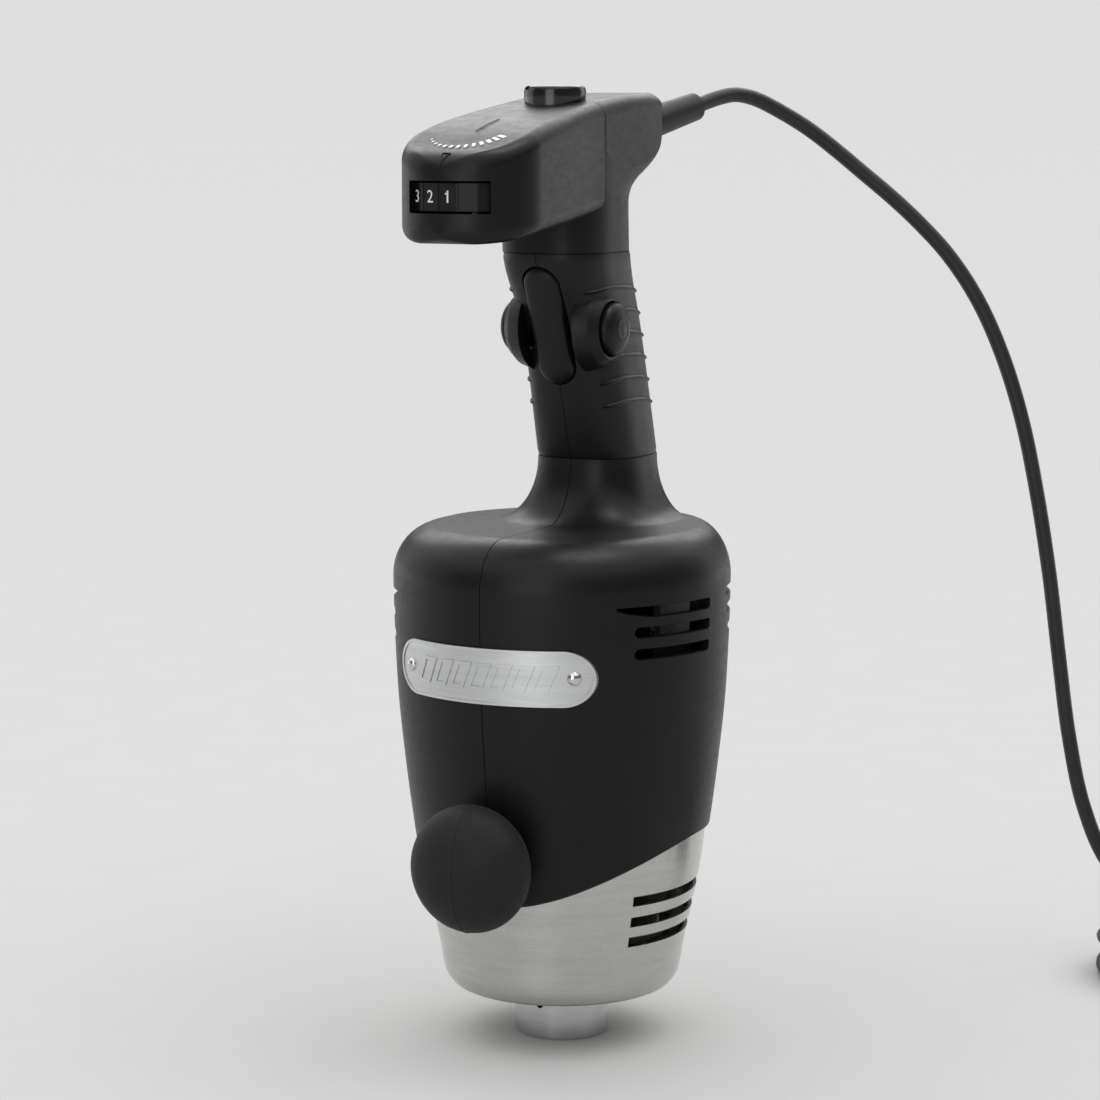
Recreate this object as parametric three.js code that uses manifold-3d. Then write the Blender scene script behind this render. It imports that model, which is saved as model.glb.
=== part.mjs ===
// Hand-held power blender drive unit: a motor housing on a steel skirt, a leaning pistol grip with a
// trigger, a head with a speed wheel, and a mains lead that ends in a coil and a plug.
// Millimetres, +Z up. The unit stands on its coupling collar at z = 0 and its front is -Y.
import * as THREE from 'three';
import { LoftGeometry } from 'three/addons/geometries/LoftGeometry.js';
import { mergeVertices } from 'three/addons/utils/BufferGeometryUtils.js';
import Module from 'manifold-3d';

const wasm = await Module();
wasm.setup();

// ---------------------------------------------------------------- driving dimensions
const GAP = 0.3;                 // left between pieces that touch
const SIDES = 32;                // facets round a large turned piece
const SMALL_SIDES = 16;          // facets round a small one
const HEAD_FRONT = -96.6;        // foremost point of the head, from the drive axis
const HEAD_BACK = 50;
const BODY_RADIUS = 67.6;        // widest point of the motor housing
const AXIS_Y = -(HEAD_FRONT + BODY_RADIUS) / 2;   // puts the origin midway from front to back

const COLLAR = { radius: 19, socket: 13.5, depth: 16, top: 25.9, flange: 24, web: 8 };
const SKIRT = { floor: 20.3, wall: 1.5, footRadius: 40, rim: 91 };
const SKIRT_PROFILE = [[40, 20.3], [44.6, 22.3], [47.2, 26], [49.5, 38], [51.2, 46], [53.1, 55],
  [55, 64.3], [57.5, 81], [58.3, 91]];
const SKIRT_VENTS = { heights: [46.9, 55.3, 64], tall: 3.7, from: 58.5, to: 120 };

const HOUSING = { wall: 3, edgeFront: 62.5, edgeRise: 24.5, edgeTurn: 95, shoulder: 188, neck: 233 };
const HOUSING_PROFILE = [[62, 55.9], [84.5, 59.4], [113, 63.1], [143, 66], [173, 67.3], [188, BODY_RADIUS]];
const HOUSING_VENTS = [
  { z: 181, from: 46, to: 87 }, { z: 173, from: 52.5, to: 87 }, { z: 164.5, from: 52.5, to: 87 },
  { z: 183, from: 102, to: 140 }, { z: 176, from: 104, to: 140 }, { z: 167.5, from: 106, to: 140 },
];
const VENT_TALL = 4;

const GRIP = { wall: 3, bottom: 233.3, top: 316, power: 2.8 };
const GRIP_WIDTH = [[233, 21.8], [286, 20.4], [316, 22.2], [345, 22.6]];      // half widths
const GRIP_DEPTH = [[233, 23.8], [286, 25.8], [316, 26.2], [345, 24.6]];      // half depths
const GRIP_CENTRE = [[233, 31], [286, 16.5], [316, 3.8], [345, 2]];

const HEAD = { wall: 1.8, seam: -10, corner: 5.5, wheelY: -69, nose: 28 };
const HEAD_STATIONS = [HEAD_FRONT, -95, -92, -88, -83, -77, HEAD.wheelY, -54.6, -10, 10, 28, 38, 45, 48.6,
  HEAD_BACK];
const HEAD_TOP = [[-97, 348], [-95, 352.5], [-91, 355.5], [-84, 358], [-69, 363.3], [-54.6, 367],
  [-10, 374.4], [20, 377.6], [40, 378.3], [46, 377], [50, 371]];
const HEAD_BOTTOM = [[-97, 327], [-95, 324], [-91, 322.5], [-84, 323], [-69, 325.4], [-10, 332.5],
  [28, 342], [38, 347.5], [46, 353], [50, 359]];
const HEAD_WIDTH = [[HEAD.wheelY, HEAD.nose], [-54.6, 27.2], [-10, 24], [28, 23.4], [45, 22], [48.6, 19.5],
  [50, 16.5]];

const WHEEL = { radius: 25.6, low: 334.1, high: 345.2, facets: 20, turn: 4.5, bore: 3.3, spindle: 3 };
const WINDOW = { left: -15.6, right: 18.2, low: 333.6, high: 345.7 };
const TOP_BUTTON = { y: -6, bezel: 12.2, bore: 9.6, cap: 9.1, top: 381, low: 375.2 };

const TRIGGER = { z: 287.7, y: -10.4, lean: 20.5, width: 15.5, length: 50.5, proud: 3, deep: 6 };
const TRIGGER_PIN = { y: -8.6, z: 306.5, radius: 1.5 };
const SIDE_BUTTON = { y: 2.5, z: 286, radius: 10.4, inner: 12, shoulder: 22, crown: 26.3 };

const PLATE = { low: 145.2, high: 167.1, half: 39.7, thick: 1.2, rivet: 32, rivetZ: 156.5 };
const KNOB = { y: -75, z: 82, wide: 25, deep: 16, tall: 25 };

const MOTOR = { low: 96, high: 140, stator: 52, bore: 27, rotor: 26, shaft: 5, shaftLow: 11, shaftHigh: 196 };
const SHAFT_BORE = MOTOR.shaft + GAP;

const CORD = { diameter: 6.4, sides: 8, lift: 1.3 };
const COIL = { x: 208.3, y: 200.5, middle: 37, turns: 3, layers: 3 };   // middle radius, turns side by side

// ---------------------------------------------------------------- finishes
function finish(color, roughness, metalness) {
  return new THREE.MeshStandardMaterial({ color, roughness, metalness });
}
const FINISH = {
  satinBlack: finish(0x1c1c1d, 0.55, 0),
  gripBlack: finish(0x222223, 0.65, 0),
  knobRubber: finish(0x1f1f20, 0.7, 0),
  glossBlack: finish(0x0c0c0d, 0.15, 0),
  cordRubber: finish(0x2a2a2b, 0.6, 0),
  brushedSteel: finish(0xa9a7a2, 0.35, 1),
  turnedAluminium: finish(0xd5d5d6, 0.2, 1),
  brushedPlate: finish(0xc4c5c7, 0.35, 1),
  amber: finish(0x6a3a1e, 0.2, 0),
  signalRed: finish(0xa32018, 0.35, 0),
  steel: finish(0x8c8e92, 0.35, 1),
  lamination: finish(0x5b5d61, 0.5, 1),
  copper: finish(0xb06a35, 0.35, 1),
  brass: finish(0xc9a24b, 0.3, 1),
  carbon: finish(0x2b2b2e, 0.8, 0),
  board: finish(0x1d5a34, 0.5, 0),
  ivoryNylon: finish(0xd9d2bd, 0.5, 0),
  darkPlastic: finish(0x303134, 0.5, 0),
};

// ---------------------------------------------------------------- solids
const rad = THREE.MathUtils.degToRad;

/** A closed geometry as a solid, with its faces turned outwards. */
function solid(geometry) {
  const bare = new THREE.BufferGeometry().setIndex(geometry.index);
  bare.setAttribute('position', geometry.getAttribute('position'));
  const merged = mergeVertices(bare, 1e-4);
  const triVerts = new Uint32Array(merged.index.array);
  const vertProperties = new Float32Array(merged.attributes.position.array);
  const made = new wasm.Manifold(new wasm.Mesh({ numProp: 3, vertProperties, triVerts }));
  if (made.volume() > 0) return made;
  const turned = triVerts.map((_, i) => triVerts[i - (i % 3) + [0, 2, 1][i % 3]]);
  return new wasm.Manifold(new wasm.Mesh({ numProp: 3, vertProperties, triVerts: turned }));
}

const cut = (base, ...tools) => tools.reduce((left, tool) => left.subtract(tool), base);
const join = (base, ...others) => others.reduce((sum, other) => sum.add(other), base);

/** The mesh of one named piece. */
function piece(name, shape, material) {
  const { vertProperties, triVerts } = shape.getMesh();
  const geometry = new THREE.BufferGeometry();
  geometry.setAttribute('position', new THREE.BufferAttribute(new Float32Array(vertProperties), 3));
  geometry.setIndex(new THREE.BufferAttribute(new Uint32Array(triVerts), 1));
  geometry.computeVertexNormals();
  const mesh = new THREE.Mesh(geometry, material);
  mesh.name = name;
  return mesh;
}

/** A profile of [radius, z] points turned about the Z axis. */
function turned(profile, sides = SIDES, start = 0) {
  const points = profile.map(([r, z]) => new THREE.Vector2(r, z));
  return solid(new THREE.LatheGeometry(points, sides, start).rotateX(Math.PI / 2));
}

const disc = (radius, low, high, sides = SIDES) =>
  turned([[0, low], [radius, low], [radius, high], [0, high]], sides);

const ring = (inner, outer, low, high, sides = SIDES) =>
  turned([[inner, low], [outer, low], [outer, high], [inner, high], [inner, low]], sides);

function box(x0, x1, y0, y1, z0, z1) {
  const block = new THREE.BoxGeometry(x1 - x0, y1 - y0, z1 - z0);
  return solid(block.translate((x0 + x1) / 2, (y0 + y1) / 2, (z0 + z1) / 2));
}

/** A cylinder between two points. */
function rod(from, to, radius, endRadius = radius, sides = SMALL_SIDES) {
  const a = new THREE.Vector3(...from);
  const b = new THREE.Vector3(...to);
  const along = b.clone().sub(a);
  const shape = new THREE.CylinderGeometry(endRadius, radius, along.length(), sides);
  const turn = new THREE.Quaternion().setFromUnitVectors(new THREE.Vector3(0, 1, 0), along.normalize());
  return solid(shape.applyQuaternion(turn).translate(...a.add(b).multiplyScalar(0.5)));
}

function roundedRect(width, height, radius) {
  const [w, h] = [width / 2, height / 2];
  const shape = new THREE.Shape();
  shape.absarc(w - radius, h - radius, radius, 0, Math.PI / 2);
  shape.absarc(radius - w, h - radius, radius, Math.PI / 2, Math.PI);
  shape.absarc(radius - w, radius - h, radius, Math.PI, Math.PI * 1.5);
  shape.absarc(w - radius, radius - h, radius, Math.PI * 1.5, Math.PI * 2);
  return shape;
}

/** A shape extruded up Z between two heights. */
function prism(shape, low, high, curveSegments = 4) {
  const options = { depth: high - low, bevelEnabled: false, curveSegments };
  return solid(new THREE.ExtrudeGeometry(shape, options).translate(0, 0, low));
}

/** Part of a ring, between two angles counted from the front. */
function sector(inner, outer, low, high, from, to) {
  const [a, b] = [rad(from - 90), rad(to - 90)];
  const shape = new THREE.Shape();
  shape.absarc(0, 0, outer, a, b, false);
  shape.absarc(0, 0, inner, b, a, true);
  return prism(shape, low, high, Math.max(3, Math.ceil((to - from) / 9)));
}

/** A value read from a list of [at, value] pairs, straight between them. */
function along(pairs, at) {
  const next = Math.max(1, pairs.findIndex(([x]) => x >= at));
  const [[x0, v0], [x1, v1]] = at > pairs.at(-1)[0] ? pairs.slice(-2) : [pairs[next - 1], pairs[next]];
  return v0 + (v1 - v0) * (at - x0) / (x1 - x0);
}

/** The biggest separate body of a solid, without the loose slivers a cut can leave. */
function largest(form) {
  return form.decompose().sort((a, b) => b.volume() - a.volume())[0];
}

/** A tube with closed ends that follows a curve. */
function tube(curve, radius, steps, sides = CORD.sides) {
  const section = new THREE.Shape(Array.from({ length: sides }, (_, i) => {
    const turn = 2 * Math.PI * i / sides;
    return new THREE.Vector2(radius * Math.cos(turn), radius * Math.sin(turn));
  }));
  return solid(new THREE.ExtrudeGeometry(section, { steps, bevelEnabled: false, extrudePath: curve }));
}

/** A helical compression spring along Z between two heights. */
class Helix extends THREE.Curve {
  constructor(radius, low, high, turns) {
    super();
    Object.assign(this, { radius, low, high, turns });
  }
  getPoint(t, target = new THREE.Vector3()) {
    const turn = 2 * Math.PI * this.turns * t;
    const z = THREE.MathUtils.lerp(this.low, this.high, t);
    return target.set(this.radius * Math.cos(turn), this.radius * Math.sin(turn), z);
  }
}

const SPRING_WIRE = 0.45;
const spring = (radius, low, high, turns = 4) =>
  tube(new Helix(radius, low, high, turns), SPRING_WIRE, turns * 8, 4);

// ---------------------------------------------------------------- motor housing
const RINGS = Array.from({ length: SIDES }, (_, i) => 360 * i / SIDES);

/** A point of the grip's section at a height, at an angle from the front. */
function gripPoint(angle, z, inset) {
  const [s, c] = [Math.sin(rad(angle)), Math.cos(rad(angle))];
  const power = 2 / GRIP.power;
  const x = (along(GRIP_WIDTH, z) - inset) * Math.sign(s) * Math.abs(s) ** power;
  const y = along(GRIP_CENTRE, z) - (along(GRIP_DEPTH, z) - inset) * Math.sign(c) * Math.abs(c) ** power;
  return new THREE.Vector3(x, y, z);
}

/** Height of the black housing's lower edge, which dips at the front. */
function edgeHeight(angle) {
  const fromFront = Math.min(angle, 360 - angle) / HOUSING.edgeTurn;
  return HOUSING.edgeFront + HOUSING.edgeRise * THREE.MathUtils.smoothstep(fromFront, 0, 1);
}

function roundPoint(angle, radius, z) {
  return new THREE.Vector3(radius * Math.sin(rad(angle)), -radius * Math.cos(rad(angle)), z);
}

/** The shoulder runs from the widest ring over a flat top and up a fillet to the neck. */
function shoulderPoint(angle, step, inset) {
  const low = roundPoint(angle, BODY_RADIUS - inset, HOUSING.shoulder);
  const neck = gripPoint(angle, HOUSING.neck, inset);
  const reach = Math.hypot(low.x - neck.x, low.y - neck.y);
  const flat = 207.5 - inset;
  const round = Math.min(19, reach * 0.45);
  const fillet = Math.min(19, reach * 0.5);
  const turn = Math.PI / 2 * (step <= 1 ? step : step - 1);
  const inward = step <= 1 ? round * (1 - Math.cos(turn)) : reach - fillet * (1 - Math.sin(turn));
  const z = step <= 1 ? low.z + (flat - low.z) * Math.sin(turn)
    : flat + (HOUSING.neck - flat) * (1 - Math.cos(turn));
  return low.lerp(neck, inward / reach).setZ(z);
}

function housingForm(inset, extra = 0) {
  const lower = [0, 0.35, 0.7, 1].map((t) => RINGS.map((angle) => {
    const z = THREE.MathUtils.lerp(edgeHeight(angle) - extra, 113, t);
    return roundPoint(angle, along(HOUSING_PROFILE, z) - inset, z);
  }));
  const upper = [143, 173, 188].map((z) => {
    const radius = along(HOUSING_PROFILE, z) - inset;
    return RINGS.map((angle) => roundPoint(angle, radius, z));
  });
  const over = [0.33, 0.66, 1, 1.05, 1.35, 1.65, 2].map((s) => RINGS.map((a) => shoulderPoint(a, s, inset)));
  const top = extra ? [RINGS.map((a) => gripPoint(a, HOUSING.neck, inset).setZ(HOUSING.neck + extra))] : [];
  return solid(new LoftGeometry([...lower, ...upper, ...over, ...top], { capStart: true, capEnd: true }));
}

const skirtForm = (grow) => turned([[0, SKIRT.floor - grow],
  ...SKIRT_PROFILE.map(([r, z], i) => [r + grow, i ? z : z - grow]), [0, SKIRT.rim]]);

function ventCutters(inner, outer, tall, vents) {
  return vents.flatMap(({ z, from, to }) => [
    sector(inner, outer, z - tall / 2, z + tall / 2, from, to),
    sector(inner, outer, z - tall / 2, z + tall / 2, -to, -from),
  ]);
}

const rivetRod = (side, from, to, radius) => {
  const angle = rad(PLATE.rivet * side);
  const at = (r) => [r * Math.sin(angle), -r * Math.cos(angle), PLATE.rivetZ];
  return rod(at(from), at(to), radius, radius, 12);
};

function housingHalves() {
  const whole = cut(housingForm(0), housingForm(HOUSING.wall, 6), skirtForm(GAP),
    ...ventCutters(60, 75, VENT_TALL, HOUSING_VENTS),
    rivetRod(-1, 55, 75, 1.8), rivetRod(1, 55, 75, 1.8),
    rod([0, -70, KNOB.z], [0, -50, KNOB.z], 5.3));
  return halves(whole, 'housing', FINISH.satinBlack);
}

/** Two named half shells that part on the plane of symmetry. */
function halves(whole, name, material) {
  const far = 400;
  return [
    piece(`${name}_left`, whole.intersect(box(-far, -GAP / 2, -far, far, -far, far)), material),
    piece(`${name}_right`, whole.intersect(box(GAP / 2, far, -far, far, -far, far)), material),
  ];
}

function plateBand(low, high) {
  const levels = [PLATE.low, (PLATE.low + PLATE.high) / 2, PLATE.high];
  const at = (grow) => levels.map((z) => [along(HOUSING_PROFILE, z) + grow, z]);
  return turned([...at(low), ...at(high).reverse(), at(low)[0]], 48);
}

function namePlate() {
  const width = 2 * 67.5 * Math.sin(rad(PLATE.half));
  const tall = PLATE.high - PLATE.low;
  const outline = prism(roundedRect(width, tall - 0.02, tall / 2 - 0.1), 0, 90, 6);
  const facing = outline.rotate([90, 0, 0]).translate([0, 0, (PLATE.low + PLATE.high) / 2]);
  const band = plateBand(GAP, GAP + PLATE.thick).intersect(facing);
  return cut(band, rivetRod(-1, 55, 75, 1.8), rivetRod(1, 55, 75, 1.8));
}

function rivet(side) {
  const face = 66.6 + 2 * GAP + PLATE.thick;
  const angle = rad(PLATE.rivet * side);
  const head = turned([[0, -7], [1.5, -7], [1.5, 0], [2.7, 0], [2.4, 1.1], [1.3, 1.8], [0, 2]], 12);
  return head.rotate([90, 0, 0]).rotate([0, 0, THREE.MathUtils.radToDeg(angle)])
    .translate([face * Math.sin(angle), -face * Math.cos(angle), PLATE.rivetZ]);
}

// ---------------------------------------------------------------- front knob
function frontKnob() {
  const ball = new THREE.SphereGeometry(1, 20, 12).scale(KNOB.wide, KNOB.deep, KNOB.tall);
  return cut(solid(ball.translate(0, KNOB.y, KNOB.z)), rod([0, -74, KNOB.z], [0, -50, KNOB.z], 5.3),
    housingForm(-1.5));
}

function knobStem() {
  const stud = rod([0, -73.5, KNOB.z], [0, -55.3, KNOB.z], 5);
  const spacer = rod([0, -66, KNOB.z], [0, -58.6, KNOB.z], 13, 15, 24);
  return join(stud, cut(spacer, housingForm(-GAP), frontBall(GAP)));
}

const frontBall = (grow) => solid(new THREE.SphereGeometry(1, 20, 12)
  .scale(KNOB.wide + grow, KNOB.deep + grow, KNOB.tall + grow).translate(0, KNOB.y, KNOB.z));

// ---------------------------------------------------------------- skirt and collar
function lowerSkirt() {
  const floor = SKIRT.floor + 2;
  const wall = SKIRT_PROFILE.slice(1).map(([r, z]) => [r - SKIRT.wall, Math.max(z, floor)]);
  const inner = turned([[0, floor], ...wall, [wall.at(-1)[0], SKIRT.rim + 5], [0, SKIRT.rim + 5]]);
  const vents = SKIRT_VENTS.heights.map((z) => ({ z, from: SKIRT_VENTS.from, to: SKIRT_VENTS.to }));
  return cut(skirtForm(0), inner, disc(COLLAR.radius + GAP, 0, 30),
    ...ventCutters(43, 60, SKIRT_VENTS.tall, vents), rod([0, -70, KNOB.z], [0, -50, KNOB.z], 5.3));
}

function couplingCollar() {
  const seat = 12.3;
  const body = turned([[COLLAR.socket, 0], [COLLAR.radius, 0], [COLLAR.radius, 22.6], [COLLAR.flange, 22.6],
    [COLLAR.flange, COLLAR.top], [seat, COLLAR.top], [seat, 20], [COLLAR.web, 20], [COLLAR.web, COLLAR.depth],
    [COLLAR.socket, COLLAR.depth], [COLLAR.socket, 0]]);
  return cut(body, rod([0, -30, 14.4], [0, -10, 14.4], 1.25, 1.25, 12));
}

function locatingLug() {
  const block = prism(roundedRect(5.6, 6, 1), 17, SKIRT.floor - GAP).translate([22.2, 0, 0]);
  return block.rotate([0, 0, 118 - 90]);
}

// ---------------------------------------------------------------- motor
function driveCoupling() {
  const lobes = new THREE.Shape(Array.from({ length: 24 }, (_, i) => {
    const turn = 2 * Math.PI * i / 24;
    const radius = i % 4 < 2 ? 8.5 : 7;
    return new THREE.Vector2(radius * Math.cos(turn), radius * Math.sin(turn));
  }));
  return cut(prism(lobes, 9, COLLAR.depth - GAP), disc(SHAFT_BORE, MOTOR.shaftLow - GAP, 30, SMALL_SIDES));
}

function rotorCore() {
  const slot = (i) => box(17, 30, -1.8, 1.8, 80, 150).rotate([0, 0, 30 * i]);
  const stack = disc(MOTOR.rotor, MOTOR.low, MOTOR.high);
  return cut(stack, disc(SHAFT_BORE, 0, 300, SMALL_SIDES), ...Array.from({ length: 12 }, (_, i) => slot(i)));
}

function coolingFan() {
  const blade = (i) => box(9, 43.5, -0.9, 0.9, 45, 58).rotate([0, 0, 40 * i]);
  const hub = join(disc(44, 44, 46), disc(11, 45, 58, SMALL_SIDES));
  const blades = Array.from({ length: 9 }, (_, i) => blade(i));
  return cut(join(hub, ...blades), disc(SHAFT_BORE, 0, 90, SMALL_SIDES));
}

const LEGS = [[43, 53], [127, 137]];       // angles of a coil's two legs, for the coil at +X

function statorCore() {
  const windows = [0, 180].flatMap((turn) => LEGS.map(([a, b]) =>
    sector(29.7, 40.3, MOTOR.low - 1, MOTOR.high + 1, a - 0.6 + turn, b + 0.6 + turn)));
  return cut(ring(MOTOR.bore, MOTOR.stator, MOTOR.low, MOTOR.high), ...windows);
}

function fieldCoil(turn) {
  const [start, end] = [LEGS[0][0] + turn, LEGS[1][1] + turn];
  const legs = LEGS.map(([a, b]) => sector(30, 40, MOTOR.low - 5, MOTOR.high + 5, a + turn, b + turn));
  return join(sector(30, 40, MOTOR.low - 10, MOTOR.low - 0.5, start, end), ...legs,
    sector(30, 40, MOTOR.high + 0.5, MOTOR.high + 10, start, end));
}

function lowerBracket() {
  return turned([[8, 26.2], [38, 26.2], [38, 29.2], [17.5, 29.2], [17.5, 38], [13.5, 38], [13.5, 29.2],
    [8, 29.2], [8, 26.2]]);
}

function upperBracket() {
  const bar = cut(box(-50.5, 50.5, -13, 13, 183, 185.7), disc(8, 180, 190, SMALL_SIDES));
  const legs = [-50.5, 47.5].map((x) => box(x, x + 3, -13, 13, 152.6, 184));
  return join(bar, ...legs, ring(9.8, 13, 185.5, 193, SMALL_SIDES));
}

function brushHolder(side) {
  const outer = box(17, 42, -5, 5, 161, 171);
  const channel = cut(outer, box(16, 40.5, -3.3, 3.3, 162.7, 169.3));
  return side > 0 ? channel : channel.rotate([0, 0, 180]);
}

function brush(side) {
  const block = box(14.5, 29, -3, 3, 163, 169);
  return side > 0 ? block : block.rotate([0, 0, 180]);
}

function motorPieces() {
  return [
    piece('motor_frame', ring(MOTOR.stator + GAP, 54.6, 84, 152.2), FINISH.turnedAluminium),
    piece('stator_core', statorCore(), FINISH.lamination),
    piece('field_coil_left', fieldCoil(180), FINISH.copper),
    piece('field_coil_right', fieldCoil(0), FINISH.copper),
    piece('upper_bracket', upperBracket(), FINISH.turnedAluminium),
    piece('upper_bearing', ring(SHAFT_BORE, 9.5, 186, 192, SMALL_SIDES), FINISH.steel),
    piece('lower_bracket', lowerBracket(), FINISH.turnedAluminium),
    piece('lower_bearing', ring(SHAFT_BORE, 13.2, 29.5, 37.5, SMALL_SIDES), FINISH.steel),
    piece('shaft_seal', ring(SHAFT_BORE, 12, 20.3, COLLAR.top - GAP, SMALL_SIDES), FINISH.cordRubber),
    piece('brush_holder_left', brushHolder(-1), FINISH.brass),
    piece('brush_holder_right', brushHolder(1), FINISH.brass),
    piece('brush_left', brush(-1), FINISH.carbon),
    piece('brush_right', brush(1), FINISH.carbon),
    piece('rotor_shaft', disc(MOTOR.shaft, MOTOR.shaftLow, MOTOR.shaftHigh, SMALL_SIDES), FINISH.steel),
    piece('rotor_core', rotorCore(), FINISH.lamination),
    piece('commutator', ring(SHAFT_BORE, 14, 158, 174, 24), FINISH.copper),
    piece('cooling_fan', coolingFan(), FINISH.ivoryNylon),
    piece('drive_coupling', driveCoupling(), FINISH.steel),
  ];
}

// ---------------------------------------------------------------- grip
function gripForm(inset, low, high) {
  const inner = [...new Set([low, 250, 268, 286, 301, high])].filter((z) => z >= low && z <= high);
  const levels = inner.length > 1 ? inner : [low, high];
  const rings = levels.map((z) => RINGS.map((a) => gripPoint(a, z, inset)));
  return solid(new LoftGeometry(rings, { capStart: true, capEnd: true }));
}

/** The stadium-shaped slab that the trigger paddle fills, leaning with the grip's front. */
function paddle(width, length, outward, inward) {
  const slab = prism(roundedRect(width, length, width / 2 - 0.01), -inward, outward, 5);
  return slab.rotate([90, 0, 0]).rotate([TRIGGER.lean, 0, 0]).translate([0, TRIGGER.y, TRIGGER.z]);
}

function triggerPiece() {
  const { y, z, radius } = TRIGGER_PIN;
  const ears = join(rod([-5, y, z], [-2, y, z], 4, 4, 12), rod([2, y, z], [5, y, z], 4, 4, 12));
  const body = paddle(TRIGGER.width, TRIGGER.length, TRIGGER.proud, TRIGGER.deep);
  return cut(join(body, ears), rod([-20, y, z], [20, y, z], radius + GAP, radius + GAP, 12));
}

function triggerPin() {
  const { y, z, radius } = TRIGGER_PIN;
  return rod([-30, y, z], [30, y, z], radius, radius, 12).intersect(gripForm(GRIP.wall + GAP, 234, 315.7));
}

function sideRod(side, from, to, radius, endRadius = radius) {
  const { y, z } = SIDE_BUTTON;
  return rod([side * from, y, z], [side * to, y, z], radius, endRadius, 24);
}

function gripHalves() {
  const collars = [-1, 1].map((s) => sideRod(s, 12, 20.8, SIDE_BUTTON.radius + 2));
  const holes = [-1, 1].map((s) => sideRod(s, 8, 30, SIDE_BUTTON.radius + 0.4));
  const shell = join(gripForm(0, GRIP.bottom, GRIP.top), ...collars);
  const clearance = paddle(TRIGGER.width + 1, TRIGGER.length + 1.4, 12, 12);
  const inner = gripForm(GRIP.wall, GRIP.bottom - 0.3, GRIP.top + 0.01);
  return halves(cut(shell, inner, clearance, ...holes), 'grip', FINISH.gripBlack);
}

function sideButton(side) {
  const { radius, inner, shoulder, crown, y, z } = SIDE_BUTTON;
  const cap = turned([[0, inner], [radius, inner], [radius, shoulder], [radius * 0.86, shoulder + 2.3],
    [radius * 0.5, crown - 0.5], [0, crown]], 24);
  return cap.rotate([0, 90 * side, 0]).translate([0, y, z]);
}

const sideSpring = (side) => spring(3.2, 7.4, SIDE_BUTTON.inner - 0.6, 3)
  .rotate([0, 90 * side, 0]).translate([0, SIDE_BUTTON.y + 3, SIDE_BUTTON.z]);

function gripPieces() {
  return [
    ...gripHalves(),
    piece('trigger', triggerPiece(), FINISH.satinBlack),
    piece('trigger_pin', triggerPin(), FINISH.steel),
    piece('trigger_switch', box(-6, 6, 13.5, 30, 259, 273), FINISH.darkPlastic),
    piece('trigger_spring', spring(2.6, 0, 8, 3).rotate([-90, 0, 0]).translate([0, 5, 268]), FINISH.steel),
    piece('side_button_left', sideButton(-1), FINISH.satinBlack),
    piece('side_button_right', sideButton(1), FINISH.satinBlack),
    piece('side_button_spring_left', sideSpring(-1), FINISH.steel),
    piece('side_button_spring_right', sideSpring(1), FINISH.steel),
    piece('side_switch', box(-6.8, 6.8, 2, 14, 280, 292), FINISH.darkPlastic),
  ];
}

// ---------------------------------------------------------------- head
function headHalfWidth(y) {
  if (y >= HEAD.wheelY) return along(HEAD_WIDTH, y);
  return Math.sqrt(HEAD.nose ** 2 - (y - HEAD.wheelY) ** 2);
}

/** A rounded rectangle across the head at one distance from the axis. */
function headRing(y, inset) {
  const source = THREE.MathUtils.clamp(y, HEAD_FRONT, HEAD_BACK);
  const half = headHalfWidth(source) - inset;
  const low = along(HEAD_BOTTOM, source) + inset;
  const high = along(HEAD_TOP, source) - inset;
  const corner = Math.min(HEAD.corner - inset, half * 0.9, (high - low) * 0.45);
  const points = [];
  for (let i = 0; i < 16; i++) {
    const quarter = Math.floor(i / 4);
    const turn = rad(90 * quarter + 30 * (i % 4));
    const cx = (half - corner) * (quarter === 0 || quarter === 3 ? 1 : -1);
    const cz = quarter < 2 ? high - corner : low + corner;
    points.push(new THREE.Vector3(cx + corner * Math.cos(turn), y, cz + corner * Math.sin(turn)));
  }
  return points.reverse();
}

function headForm(inset) {
  const shrink = (HEAD.nose - inset) / HEAD.nose;
  const shift = (y) => (y < HEAD.wheelY ? HEAD.wheelY + (y - HEAD.wheelY) * shrink : y);
  const stations = HEAD_STATIONS.filter((y) => !inset || y < HEAD_BACK - inset);
  const rings = stations.map((y) => headRing(y, inset).map((p) => p.setY(shift(y))));
  return solid(new LoftGeometry(rings, { capStart: true, capEnd: true }));
}

const RELIEF = { base: [0, 50, 361.9], along: new THREE.Vector3(0.3, 0.92, 0.245).normalize() };
function reliefPoint(reach) {
  return new THREE.Vector3(...RELIEF.base).addScaledVector(RELIEF.along, reach).toArray();
}

function headShells() {
  const outer = headForm(0);
  const inner = headForm(HEAD.wall);
  const far = 200;
  const stub = gripForm(0, GRIP.top + GAP, 345);
  const stubInner = gripForm(GRIP.wall, GRIP.top, 350);
  const stubClear = gripForm(-GAP, GRIP.top - 1, 345);
  const buttonHole = disc(TOP_BUTTON.bore + 0.4, 365, 390, 24).translate([0, TOP_BUTTON.y, 0]);
  const window = box(WINDOW.left, WINDOW.right, -110, HEAD.wheelY, WINDOW.low, WINDOW.high);
  const front = outer.intersect(box(-far, far, -far, HEAD.seam - GAP / 2, 300, 400));
  const rear = join(outer.intersect(box(-far, far, HEAD.seam + GAP / 2, far, 300, 400)), stub);
  const reliefHole = rod(reliefPoint(-14), reliefPoint(20), 7.6);
  const pastSeam = box(-far, far, -far, HEAD.seam - GAP / 2, 346, 400);
  const shell = largest(cut(rear, inner, stubInner, buttonHole, reliefHole, pastSeam));
  return [
    piece('head_front_cover', cut(front, inner, stubClear, window, buttonHole), FINISH.satinBlack),
    piece('head_rear_shell', shell, FINISH.satinBlack),
  ];
}

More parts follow.
